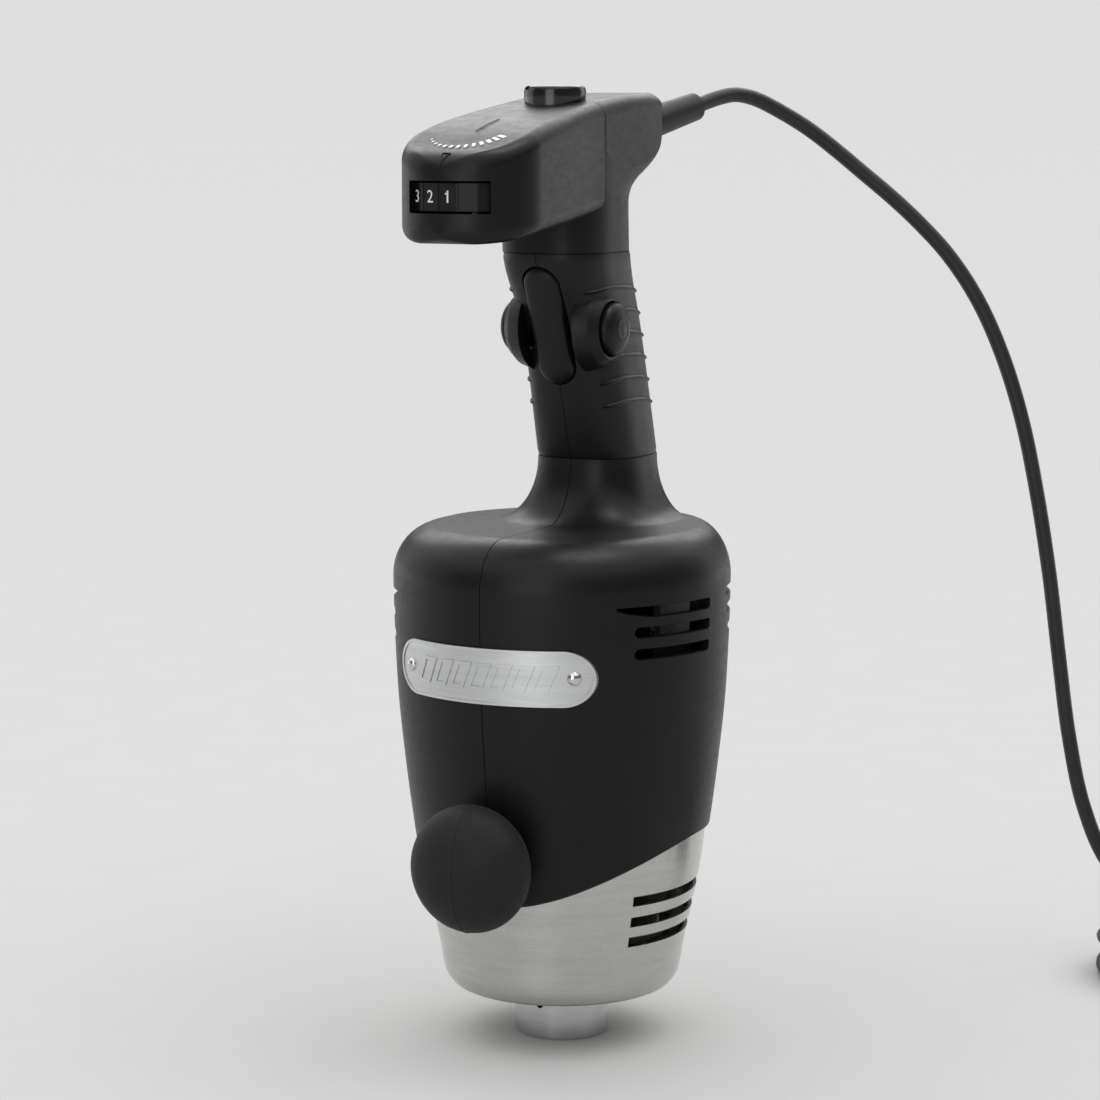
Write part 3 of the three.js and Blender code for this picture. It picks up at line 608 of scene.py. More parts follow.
class Form:
    """A bmesh in millimetres from the drive axis, with the operations that pieces are made by."""

    axis_y = 0.0        # the drive axis in the row frame, in millimetres

    def __init__(self, mesh: bmesh.types.BMesh | None = None) -> None:
        """Starts empty, or with a mesh."""
        self.mesh = mesh or bmesh.new()

    def copy(self) -> Form:
        """Another of the same."""
        return Form(self.mesh.copy())

    def loft(self, rings: Sequence[Ring], closed: bool = False, capped: bool = True) -> Form:
        """Extrudes a closed outline from ring to ring.

        Args:
            rings: outlines with equally many points.
            closed: whether the last ring runs on into the first.
            capped: whether the ends are closed.

        Returns:
            Itself.
        """
        verts = bmesh.ops.create_circle(self.mesh, segments=len(rings[0]), radius=1.0)["verts"]
        start = list(verts)
        self._put(verts, rings[0])
        for ring in rings[1:]:
            verts = self._grow(verts)
            self._put(verts, ring)
        edges = [self._edge(a, b) for loop in (start, verts) for a, b in zip(loop, [*loop[1:], loop[0]])]
        if closed:
            bmesh.ops.bridge_loops(self.mesh, edges=edges)
        elif capped:
            bmesh.ops.holes_fill(self.mesh, edges=edges, sides=0)
        return self.outward()

    def _edge(self, first: bmesh.types.BMVert, second: bmesh.types.BMVert) -> bmesh.types.BMEdge:
        """The edge between two vertices."""
        return self.mesh.edges.get((first, second))

    @staticmethod
    def _put(verts: Sequence[bmesh.types.BMVert], places: Ring) -> None:
        """Moves each vertex to its place."""
        for vert, place in zip(verts, places):
            vert.co = place

    def _grow(self, verts: list[bmesh.types.BMVert]) -> list[bmesh.types.BMVert]:
        """Extrudes a closed loop of vertices, and gives the new loop in the same order."""
        edges = [self._edge(a, b) for a, b in zip(verts, [*verts[1:], verts[0]])]
        made = bmesh.ops.extrude_edge_only(self.mesh, edges=edges)["geom"]
        fresh = {v for v in made if isinstance(v, bmesh.types.BMVert)}
        return [next(e.other_vert(v) for e in v.link_edges if e.other_vert(v) in fresh) for v in verts]

    def turn(self, profile: Sequence[tuple[float, float]], count: int = ROUND, closed: bool = False) -> Form:
        """Spins a profile round the Z axis.

        Args:
            profile: radii and heights.
            count: how many facets it has.
            closed: whether the profile's end meets its start.

        Returns:
            Itself.
        """
        verts = [self.mesh.verts.new((r, 0.0, z)) for r, z in profile]
        pairs = list(zip(verts, verts[1:])) + ([(verts[-1], verts[0])] if closed else [])
        edges = [self.mesh.edges.new(pair) for pair in pairs]
        bmesh.ops.spin(self.mesh, geom=[*verts, *edges], cent=(0, 0, 0), axis=(0, 0, 1),
                       angle=2 * math.pi, steps=count, use_merge=True)
        bmesh.ops.remove_doubles(self.mesh, verts=self.mesh.verts, dist=1e-4)
        return self.outward()

    def prism(self, outline: Sequence[tuple[float, float]], low: float, high: float) -> Form:
        """Extrudes a flat outline up the Z axis."""
        return self.loft([[(x, y, z) for x, y in outline] for z in (low, high)])

    def move(self, matrix: Matrix) -> Form:
        """Turns and moves the whole form."""
        bmesh.ops.transform(self.mesh, matrix=matrix, verts=self.mesh.verts)
        return self

    def turned(self, degrees: float, axis: str = "Z") -> Form:
        """Turns the form about an axis through the origin."""
        return self.move(Matrix.Rotation(math.radians(degrees), 4, axis))

    def shifted(self, x: float = 0.0, y: float = 0.0, z: float = 0.0) -> Form:
        """Moves the form."""
        return self.move(Matrix.Translation((x, y, z)))

    def mirrored(self) -> Form:
        """Swaps left and right."""
        return self.move(Matrix.Scale(-1, 4, (1, 0, 0))).outward()

    def outward(self) -> Form:
        """Turns the faces outwards."""
        self.mesh.normal_update()
        bmesh.ops.recalc_face_normals(self.mesh, faces=self.mesh.faces)
        return self

    def add(self, *others: Form) -> Form:
        """Takes in other forms as they are."""
        for other in others:
            loose = bpy.data.meshes.new("loose")
            other.mesh.to_mesh(loose)
            self.mesh.from_mesh(loose)
            bpy.data.meshes.remove(loose)
        return self

    def soften(self, pick: Callable[[bmesh.types.BMEdge], bool], reach: float, segments: int = 2) -> Form:
        """Bevels the edges that pick chooses.

        Args:
            pick: tells whether an edge is bevelled.
            reach: the bevel's width.
            segments: how many steps it has.

        Returns:
            Itself.
        """
        edges = [e for e in self.mesh.edges if len(e.link_faces) == 2 and pick(e)]
        bmesh.ops.bevel(self.mesh, geom=edges, offset=reach, offset_type="OFFSET", affect="EDGES",
                        segments=segments, profile=0.5, material=-1, clamp_overlap=True)
        return self

    def sharpened(self, reach: float, over: float = 40.0, segments: int = 2) -> Form:
        """Bevels every edge that turns by more than an angle."""
        return self.soften(lambda e: e.calc_face_angle(0.0) > math.radians(over), reach, segments)

    def kept(self, point: Point, normal: Point) -> Form:
        """Cuts by a plane, keeps the side that the normal points to, and closes the cut."""
        geometry = [*self.mesh.verts, *self.mesh.edges, *self.mesh.faces]
        made = bmesh.ops.bisect_plane(self.mesh, geom=geometry, plane_co=point, plane_no=normal,
                                      clear_inner=True, dist=1e-5)["geom_cut"]
        edges = [e for e in made if isinstance(e, bmesh.types.BMEdge) and e.is_boundary]
        bmesh.ops.holes_fill(self.mesh, edges=edges, sides=0)
        return self

    def _object(self) -> bpy.types.Object:
        """The form as a loose object."""
        mesh = bpy.data.meshes.new("loose")
        self.mesh.to_mesh(mesh)
        made = bpy.data.objects.new("loose", mesh)
        bpy.context.scene.collection.objects.link(made)
        return made

    def carve(self, *steps_: tuple[str, Form]) -> Form:
        """Joins or cuts with other forms, in order.

        Args:
            steps_: an operation and a form each.

        Returns:
            Itself.
        """
        target = self._object()
        others = []
        for operation, form in steps_:
            other = form._object()
            others.append(other)
            change = target.modifiers.new("change", "BOOLEAN")
            change.operation = operation
            change.solver = "EXACT"
            change.object = other
        bpy.context.view_layer.update()
        mesh = bpy.data.meshes.new_from_object(target.evaluated_get(bpy.context.evaluated_depsgraph_get()))
        self.mesh.free()
        self.mesh = bmesh.new()
        self.mesh.from_mesh(mesh)
        bpy.data.meshes.remove(mesh)
        for made in (target, *others):
            data = made.data
            bpy.data.objects.remove(made)
            bpy.data.meshes.remove(data)
        return self

    def cut(self, *others: Form) -> Form:
        """Takes the other forms away from this one."""
        return self.carve(*(("DIFFERENCE", other) for other in others))

    def joined(self, *others: Form) -> Form:
        """Adds the other forms to this one as one skin."""
        return self.carve(*(("UNION", other) for other in others))


def rod(start: Point, end: Point, radius: float, last: float | None = None, count: int = 32) -> Form:
    """A cylinder or cone between two points.

    Args:
        start: the middle of one end.
        end: the middle of the other.
        radius: at the start.
        last: at the end, where it differs.
        count: how many facets it has.

    Returns:
        The form.
    """
    along = Vector(end) - Vector(start)
    made = Form().turn([(0, 0), (radius, 0), (radius if last is None else last, along.length),
                        (0, along.length)], count)
    return made.move(Matrix.Translation(start) @ along.to_track_quat("Z", "Y").to_matrix().to_4x4())


def box(low: Point, high: Point) -> Form:
    """A block between two corners."""
    made = Form()
    bmesh.ops.create_cube(made.mesh, size=1.0)
    size = [b - a for a, b in zip(low, high)]
    return made.move(Matrix.Translation(lerp(low, high, 0.5)) @ Matrix.Diagonal((*size, 1.0)))


def swept(points: Sequence[Point], outline: Callable[[int], list[tuple[float, float]]],
          up: Callable[[int], Vector]) -> Form:
    """A section carried along a line.

    Args:
        points: the line.
        outline: the section at each point, across and up.
        up: which way is up there.

    Returns:
        The closed form.
    """
    line = [Vector(p) for p in points]
    rings = []
    for i, place in enumerate(line):
        ahead = (line[min(i + 1, len(line) - 1)] - line[max(i - 1, 0)]).normalized()
        rise = up(i)
        rise = (rise - ahead * rise.dot(ahead)).normalized()
        side = ahead.cross(rise)
        rings.append([tuple(place + side * a + rise * b) for a, b in outline(i)])
    return Form().loft(rings)


class Workshop:
    """Finishes pieces and keeps count of them."""

    def __init__(self) -> None:
        """Starts with no pieces."""
        self.made: list[str] = []

    def piece(self, form: Form, name: str, body: str, slot: str, finish: Finish,
              replaces: Sequence[str] = (), sharp: float = 32.0, even: bool = True) -> bpy.types.Object:
        """Turns a form into a finished piece in the row frame.

        Args:
            form: its shape.
            name: its name.
            body: the CAD body that it rides on.
            slot: the record's slot, handed on to register, which does not use it.
            finish: what it is made of.
            replaces: the CAD nodes that it stands for.
            sharp: the angle over which an edge stays crisp.
            even: whether large faces set the shading.

        Returns:
            The object.
        """
        bmesh.ops.remove_doubles(form.mesh, verts=form.mesh.verts, dist=2e-4)
        bmesh.ops.dissolve_degenerate(form.mesh, edges=form.mesh.edges, dist=1e-4)
        loose = [v for v in form.mesh.verts if not v.link_faces]
        bmesh.ops.delete(form.mesh, geom=loose, context="VERTS")
        bmesh.ops.recalc_face_normals(form.mesh, faces=form.mesh.faces)
        form.move(Matrix.Diagonal((MM, MM, MM, 1.0)) @ Matrix.Translation((0.0, Form.axis_y, 0.0)))
        mesh = bpy.data.meshes.new(name)
        form.mesh.to_mesh(mesh)
        form.mesh.free()
        mesh.shade_smooth()
        mesh.set_sharp_from_angle(angle=math.radians(sharp))
        made = bpy.data.objects.new(name, mesh)
        bpy.context.scene.collection.objects.link(made)
        if even:
            weigh = made.modifiers.new("even shading", "WEIGHTED_NORMAL")
            weigh.keep_sharp = True
        return self.register(made, body, slot, finish, replaces)

    def register(self, made: bpy.types.Object, body: str, slot: str, finish: Finish,
                 replaces: Sequence[str] = ()) -> bpy.types.Object:
        """Gives a piece its finish and body.

        Args:
            made: the object.
            body: the CAD body that it rides on.
            slot: not used.
            finish: what it is made of.
            replaces: the CAD nodes that it stands for.

        Returns:
            The object.
        """
        made.data.materials.clear()
        made.data.materials.append(finish.material())
        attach(made, body)
        if replaces:
            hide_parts(*replaces)
        self.made.append(made.name)
        LOG.info("%s: %s, on %s", made.name, finish.name, body)
        return made


# ------------------------------------------------------------------------------ studio
@dataclass
class Studio:
    """The camera, the pale floor and the soft lights."""

    bearing: float = 28.0
    distance: float = 1290.0
    height: float = 371.6
    turn: float = 0.2149
    pitch: float = 7.71
    lens: float = 106.36
    sensor: float = 36.0
    floor: float = 30.0
    room: float = 0.16                         # brightness of the air around the object
    wall: float = 0.735                        # brightness of the wall behind it, as the floor's
    sky: tuple[float, float] = (2.5, 110.0)    # strength, and width in degrees
    unlit: bpy.types.Collection = field(
        default_factory=lambda: bpy.data.collections.new("lit by the sky alone"))

    def camera(self) -> None:
        """Sets the camera up."""
        data = bpy.data.cameras.new("camera")
        data.lens, data.sensor_width = self.lens, self.sensor
        data.clip_start, data.clip_end = 0.05, 200.0
        made = bpy.data.objects.new("camera", data)
        bpy.context.scene.collection.objects.link(made)
        x, y, _ = polar(self.distance, self.bearing, 0.0)
        made.location = (x * MM, (y + Form.axis_y) * MM, self.height * MM)
        made.rotation_euler = (math.radians(90 - self.pitch), 0.0, math.radians(self.bearing + self.turn))
        bpy.context.scene.camera = made

    def stage(self) -> None:
        """Lays the floor."""
        form = Form()
        bmesh.ops.create_grid(form.mesh, x_segments=8, y_segments=8, size=self.floor)
        mesh = bpy.data.meshes.new("floor")
        form.mesh.to_mesh(mesh)
        made = bpy.data.objects.new("floor", mesh)
        bpy.context.scene.collection.objects.link(made)
        shader = Shader("pale floor")
        cloud = shader.noise(shader.place(), 0.03, 2.0, 0.5)
        shader.set(Base_Color=shader.mix(shader.spread(cloud, 0.0, 1.0), (0.795, 0.795, 0.79),
                                         (0.805, 0.805, 0.80)),
                   Roughness=shader.spread(cloud, 0.72, 0.76), Specular_IOR_Level=0.2)
        mesh.materials.append(shader.material)
        self.unlit.objects.link(made)
        self.unlit.collection_objects[0].light_linking.link_state = "EXCLUDE"

    def panel(self, name: str, place: Point, target: Point, size: tuple[float, float], power: float) -> None:
        """Adds a soft panel light.

        Args:
            name: what it is called.
            place: where it hangs, in metres.
            target: what it faces.
            size: its width and height.
            power: in watts.
        """
        data = bpy.data.lights.new(name, "AREA")
        data.shape, data.size, data.size_y, data.energy = "RECTANGLE", *size, power
        made = bpy.data.objects.new(name, data)
        bpy.context.scene.collection.objects.link(made)
        made.location = place
        made.visible_camera = False
        made.light_linking.receiver_collection = self.unlit
        made.rotation_euler = (Vector(target) - Vector(place)).to_track_quat("-Z", "Y").to_euler()

    def lights(self) -> None:
        """Hangs the panels and the wide sky over a dim room with a pale wall."""
        aim = (0.0, 0.0, 0.3)
        self.panel("right softbox", (0.50, 1.10, 0.60), aim, (0.62, 1.3), 2.6)
        self.panel("rear wall", (-0.72, 1.40, 1.25), aim, (1.9, 0.95), 17.0)
        self.panel("left wall", (-1.35, 0.05, 0.60), aim, (1.5, 1.2), 4.6)
        self.panel("front window", (0.18, -1.30, 0.52), aim, (0.7, 1.0), 4.6)
        self.panel("overhead lamp", (0.25, 0.05, 1.6), aim, (0.55, 0.55), 7.0)
        data = bpy.data.lights.new("sky", "SUN")
        data.energy, data.angle = self.sky[0], math.radians(self.sky[1])
        bpy.context.scene.collection.objects.link(bpy.data.objects.new("sky", data))
        self.world()

    def world(self) -> None:
        """Shows the camera a pale wall, and gives everything else a dim room."""
        world = bpy.data.worlds.new("studio air")
        world.use_nodes = True
        tree = world.node_tree
        back = tree.nodes["Background"]
        path = tree.nodes.new("ShaderNodeLightPath")
        shade = tree.nodes.new("ShaderNodeMix")
        shade.data_type = "FLOAT"
        shade.inputs["A"].default_value = self.room
        shade.inputs["B"].default_value = self.wall
        tree.links.new(path.outputs["Is Camera Ray"], shade.inputs["Factor"])
        tree.links.new(shade.outputs["Result"], back.inputs["Strength"])
        back.inputs["Color"].default_value = (1.0, 1.0, 1.0, 1.0)
        bpy.context.scene.world = world
        bpy.context.scene.view_settings.view_transform = "Standard"

    def build(self) -> None:
        """Builds the studio."""
        self.camera()
        self.stage()
        self.lights()


# ------------------------------------------------------------------------------ mains lead
@dataclass
class MainsLead:
    """The lead from its strain relief to the plug, with the spare length in a tied coil."""

    shop: Workshop
    diameter: float = 6.4
    relief_base: Point = (0.0, 50.0, 361.9)
    relief_way: Point = (0.3, 0.92, 0.245)
    relief_reach: float = 45.5
    relief_radii: tuple[float, float] = (7.2, 5.8)
    centre: tuple[float, float] = (208.3, 200.5)
    slots: Point = (30.6, 37.0, 43.4)          # the turns' radii
    layers: Point = (4.5, 10.9, 17.3)          # the turns' heights
    heading: float = -62.0                     # of the tail and the plug, from +X
    plug_at: Point = (272.4, 172.3, 11.2)
    route: tuple[Point, ...] = (
        (13.9, 92.6, 373.3), (15.5, 97.6, 374.7), (18.2, 106, 376.8), (21.6, 114.5, 378),
        (26.4, 123.6, 376.4), (33.4, 133.8, 371.2), (42.5, 143.8, 363.6), (52.2, 151.6, 354.4),
        (62.4, 158, 344.5), (72.5, 163.3, 335), (83, 168.6, 324.2), (95, 175, 309.5),
        (106.5, 181.1, 290), (116.2, 186.2, 266), (124.1, 190.4, 238), (130.3, 193.7, 206),
        (135.6, 196.5, 171), (140, 198.9, 134), (144.4, 201.2, 100), (150.6, 204.5, 69),
        (160.3, 209.7, 44), (174.4, 217.2, 29), (185.1, 222.8, 24.8))
    tail: tuple[Point, ...] = ((258.3, 198.8, 4.4), (262, 191.9, 5.2), (266.5, 183.4, 9.2), (270, 176.8, 11),
                               (272.4, 172.3, 11.2))

    def relief_point(self, reach: float) -> Point:
        """A point on the strain relief's line."""
        return tuple(Vector(self.relief_base) + Vector(self.relief_way).normalized() * reach)

    def coil(self) -> list[Point]:
        """The coil's line, which lands on top, works down layer by layer and leaves at the bottom."""
        inner, middle, outer = self.slots
        low, mid, high = self.layers
        radius = [(0, inner), (330, inner), (390, middle), (690, middle), (750, outer), (1285, outer),
                  (1345, middle), (1645, middle), (1705, inner), (2245, inner), (2305, middle),
                  (2605, middle),
                  (2665, outer), (2970, outer)]
        height = [(0, high + self.diameter), (40, high + self.diameter), (100, high), (990, high),
                  (1040, mid),
                  (1950, mid), (2000, low), (2970, low)]
        ahead = math.radians(self.heading)
        right = Vector((-math.sin(ahead), math.cos(ahead)))
        away = -Vector((math.cos(ahead), math.sin(ahead)))
        points = []
        for turn in range(0, 2971, 10):
            phase = math.radians(turn)
            flat = (away * math.cos(phase) + right * math.sin(phase)) * self.read(radius, turn)
            points.append((self.centre[0] + flat.x, self.centre[1] + flat.y, self.read(height, turn)))
        return points

    @staticmethod
    def read(stations: Sequence[tuple[float, float]], at: float) -> float:
        """A value that eases from station to station."""
        for (start, first), (end, last) in zip(stations, stations[1:]):
            if at <= end:
                return first + (last - first) * smooth(at, start, end)
        return stations[-1][1]

    @staticmethod
    def curved(points: Sequence[Point], step: float = 3.0) -> list[Vector]:
        """A smooth line through points.

        Args:
            points: what it goes through.
            step: about how far apart the new points are.

        Returns:
            The new points.
        """
        line = [Vector(p) for p in points]
        line = [line[0] * 2 - line[1], *line, line[-1] * 2 - line[-2]]
        made = []
        for a, b, c, d in zip(line, line[1:], line[2:], line[3:]):
            knots = [0.0]
            for first, second in ((a, b), (b, c), (c, d)):
                knots.append(knots[-1] + max((second - first).length, 1e-6) ** 0.5)
            count = max(1, round((c - b).length / step))
            for i in range(count):
                t = knots[1] + (knots[2] - knots[1]) * i / count
                level = [a, b, c, d]
                for spans in (((0, 1), (1, 2), (2, 3)), ((0, 2), (1, 3)), ((1, 2),)):
                    level = [level[j] + (level[j + 1] - level[j])
                             * ((t - knots[low]) / (knots[high] - knots[low]))
                             for j, (low, high) in enumerate(spans)]
                made.append(level[0])
        made.append(line[-2])
        return made

    def lead(self) -> tuple[bpy.types.Object, float]:
        """The lead itself, as one curve.

        Returns:
            The curve and its length in metres.
        """
        start = [self.relief_point(s) for s in (0.0, 13.0, 26.0, 39.0)]
        line = self.curved([*start, *self.route, *self.coil(), *self.tail])
        data = bpy.data.curves.new("mains_lead", "CURVE")
        data.dimensions = "3D"
        data.bevel_depth = self.diameter / 2 * MM
        data.bevel_resolution = 3
        data.use_fill_caps = True
        spline = data.splines.new("POLY")
        spline.points.add(len(line) - 1)
        for point, place in zip(spline.points, line):
            point.co = (place.x * MM, (place.y + Form.axis_y) * MM, place.z * MM, 1.0)
        spline.use_smooth = True
        made = bpy.data.objects.new("mains_lead", data)
        bpy.context.scene.collection.objects.link(made)
        self.shop.register(made, "unit", "cord_rubber", LEAD, ["cord_run", "cord_coil", "cord_tail"])
        return made, sum((b - a).length for a, b in zip(line, line[1:])) * MM

    def relief(self) -> bpy.types.Object:
        """The smooth tapered strain relief, with a flat end."""
        first, last = self.relief_radii
        reach = self.relief_reach
        profile = [(0.0, -3.0), (first, -3.0), (first, 0.0), (last, reach - 0.5), (last - 0.15, reach - 0.15),
                   (last - 0.5, reach), (0.0, reach)]
        form = Form().turn(profile, 64)
        way = Vector(self.relief_way).to_track_quat("Z", "Y").to_matrix().to_4x4()
        form.move(Matrix.Translation(self.relief_base) @ way)
        return self.shop.piece(form, "strain_relief_boot", "unit", "cord_rubber", LEAD, ["strain_relief"])

    def tie(self) -> bpy.types.Object:
        """The strap round the coil, with its rolled end."""
        inner, outer, thick, width, top = 25.2, 48.5, 1.0, 12.0, 21.8
        middle, centre = (inner + outer) / 2, top / 2
        rings = []
        for side in (-1, 1):
            for grow in ((0.0, -thick) if side < 0 else (-thick, 0.0)):
                shape = rounded(outer - inner + 2 * grow, top + 2 * grow, 3.2 + grow)
                rings.append([(middle + a, side * width / 2, centre + b) for a, b in shape])
        form = Form().loft([rings[0], rings[3], rings[2], rings[1]], closed=True)
        knot = Form().prism(rounded(width * 0.9, 9.0, 1.5), 0.0, 0.9).turned(90.0)
        form.add(knot.shifted(middle + 1.5, 0.0, top - 0.35))
        form.sharpened(0.2, 50.0, 1).turned(self.heading).shifted(*self.centre)
        return self.shop.piece(form, "lead_tie", "unit", "dark_plastic", DARK, ["cord_tie"])

    def placed(self, form: Form) -> Form:
        """Turns a part of the plug into place from lying along +X."""
        x, y, _ = self.plug_at
        return form.turned(self.heading).shifted(x, y)

    def plug(self) -> list[bpy.types.Object]:
        """The moulded plug: its body with finger ribs, two blades and the earth pin."""
        z = self.plug_at[2]
        rings = []
        for x, wide, tall, corner in (
                (1.0, 9.6, 9.6, 4.7), (5.0, 10.6, 10.6, 5.2), (9.5, 12.4, 12.2, 5.6),
                (12.5, 16.5, 15.5, 6.2), (15.0, 20.6, 19.2, 6.4), (18.5, 22.4, 20.8, 6.2),
                (22.0, 21.6, 20.2, 6.0), (24.0, 22.8, 21.2, 6.0), (27.0, 21.8, 20.4, 6.0),
                (29.0, 23.2, 21.5, 6.0), (34.0, 23.8, 21.9, 6.0), (40.6, 24.0, 22.0, 6.0),
                (41.6, 23.4, 21.4, 5.8), (42.0, 22.2, 20.2, 5.4)):
            rings.append([(x, a, z + b) for a, b in rounded(wide, tall, corner)])
        body = self.shop.piece(self.placed(Form().loft(rings)), "plug_moulding", "unit", "cord_rubber", LEAD,
                               ["plug_body"])
        pieces = [body]
        for side, name in ((-1, "plug_blade_left"), (1, "plug_blade_right")):
            blade = box((42.1, side * 6.3 - 0.8, z - 5.2), (59.0, side * 6.3 + 0.8, z + 1.2))
            pieces.append(self.shop.piece(self.placed(blade.sharpened(0.5, 40.0, 2)), f"{name}_metal", "unit",
                                          "brass", BRASS, [name]))
        pin = Form().turn([(0, 0), (2.4, 0), (2.4, 16.4), (1.9, 18.6), (1.0, 19.6), (0, 19.9)], 32)
        pin.turned(90.0, "Y").shifted(42.1, 0.0, z + 6.0)
        pieces.append(self.shop.piece(self.placed(pin), "plug_earth_metal", "unit", "brass", BRASS,
                                      ["plug_earth_pin"]))
        return pieces

    def build(self) -> None:
        """Builds the lead and says how long it is."""
        lead, length = self.lead()
        others = [self.relief(), self.tie(), *self.plug()]
        x, y, z = self.relief_base
        (y + Form.axis_y) * MM
        LOG.info("mains lead: %.3f m", length)


# ------------------------------------------------------------------------------ grip section
@dataclass
class GripSection:
    """The grip's rounded section, which leans back as it goes down."""

    power: float = 2.8
    width: Track = field(default_factory=lambda: Track((233, 21.8), (286, 20.4), (316, 22.2), (345, 22.6)))
    depth: Track = field(default_factory=lambda: Track((233, 23.8), (286, 25.8), (316, 26.2), (345, 24.6)))
    centre: Track = field(default_factory=lambda: Track((233, 31), (286, 16.5), (316, 3.8), (345, 2)))

    def point(self, angle: float, z: float, inset: float = 0.0) -> Point:
        """A point of the section at an angle from the front."""
        s, c = math.sin(math.radians(angle)), math.cos(math.radians(angle))
        x = (self.width(z) - inset) * math.copysign(abs(s) ** (2 / self.power), s)
        y = self.centre(z) - (self.depth(z) - inset) * math.copysign(abs(c) ** (2 / self.power), c)
        return x, y, z

    def ring(self, z: float, inset: float = 0.0, count: int = ROUND) -> Ring:
        """The whole section at a height."""
        return [self.point(360 * i / count, z, inset) for i in range(count)]

    def form(self, low: float, high: float, inset: float = 0.0, count: int = ROUND) -> Form:
        """A solid piece of the grip."""
        return Form().loft([self.ring(z, inset, count) for z in steps(low, high, 12)])


def halves(shop: Workshop, whole: Form, name: str, slot: str, finish: Finish, stands_for: str) -> None:
    """Parts a shell on the plane of symmetry into two mouldings with softened seams.

    Args:
        shop: where it is finished.
        whole: the shell.
        name: what the halves are called.
        slot: the record's slot.
        finish: what they are made of.
        stands_for: the start of the CAD nodes' names.
    """
    for side, word in ((-1, "left"), (1, "right")):
        half = whole.copy().kept((side * SEAM, 0, 0), (side, 0, 0))
        half.soften(lambda e: all(abs(abs(v.co.x) - SEAM) < 1e-3 for v in e.verts)
                    and e.calc_face_angle(0.0) > math.radians(50), 0.22, 2)
        shop.piece(half, f"{name}_{word}", "unit", slot, finish, [f"{stands_for}_{word}"])


# ------------------------------------------------------------------------------ motor housing
@dataclass
class Skirt:
    """The brushed steel skirt, its collar and the locating lug."""

    shop: Workshop
    wall: float = 1.5
    rim: float = 91.0
    floor: float = 20.3
    vents: Point = (46.9, 55.3, 64.0)
    vent_tall: float = 3.7
    vent_arc: tuple[float, float] = (58.5, 120.0)
    radius: Track = field(default_factory=lambda: Track(
        (22.3, 44.6), (26, 47.2), (38, 49.5), (46, 51.2), (55, 53.1), (64.3, 55), (81, 57.5), (91, 58.3)))

    def shell(self) -> Form:
        """The skirt with its slots."""
        foot = [(40.0, self.floor), (42.2, self.floor + 0.5), (43.7, self.floor + 1.2)]
        outer = [*foot, *((self.radius(z), z) for z in steps(22.3, self.rim, 36))]
        inner = [(r - self.wall, max(z, self.floor + self.wall)) for r, z in outer]
        profile = [(19.4, self.floor), *outer, *reversed(inner), (19.4, self.floor + self.wall)]
        form = Form().turn(profile, 192, closed=True)
        cutters = Form()
        for z in self.vents:
            for side in (-1, 1):
                rings = []
                for angle in steps(*self.vent_arc, 28):
                    h = self.vent_tall / 2
                    r = self.radius(z)
                    rings.append([polar(a, side * angle, z + b) for a, b in (
                        (43.0, -h), (r - 0.35, -h), (r + 0.65, -h - 0.6),
                        (r + 0.65, h + 0.6), (r - 0.35, h), (43.0, h))])
                cutters.add(Form().loft(rings))
        return form.cut(cutters)

    def collar(self) -> Form:
        """The turned collar with its socket, a fine groove and a set-screw hole."""
        profile = [(13.9, 0.0), (18.3, 0.0), (19.0, 0.7), (19.0, 18.6), (18.75, 18.85), (18.75, 19.3),
                   (19.0, 19.55),
                   (19.0, 22.6), (24.0, 22.6), (24.0, 25.9), (12.3, 25.9), (12.3, 20.0), (8.0, 20.0),
                   (8.0, 16.0),
                   (13.5, 16.0), (13.5, 0.4)]
        form = Form().turn(profile, 128, closed=True)
        hole = rod((0, -30, 14.4), (0, -10, 14.4), 1.25)
        sink = rod((0, -19.6, 14.4), (0, -18.4, 14.4), 1.9, 1.2)
        return form.cut(hole, sink)

    def lug(self) -> Form:
        """The small block that locates a tool beside the collar."""
        block = Form().prism(rounded(5.6, 6.0, 1.0, 5), 17.0, 20.0)
        block.soften(lambda e: all(v.co.z < 17.01 for v in e.verts), 0.5, 2)
        return block.shifted(22.2).turned(118.0 - 90.0)

    def build(self) -> None:
        """Builds the skirt and what is under it."""
        self.shop.piece(self.shell(), "steel_skirt", "unit", "brushed_steel", SKIRT, ["lower_skirt"])
        self.shop.piece(self.collar(), "turned_collar", "unit", "turned_aluminium", TURNED,
                        ["coupling_collar"])
        self.shop.piece(self.lug(), "locating_lug_block", "unit", "turned_aluminium", TURNED,
                        ["locating_lug"])


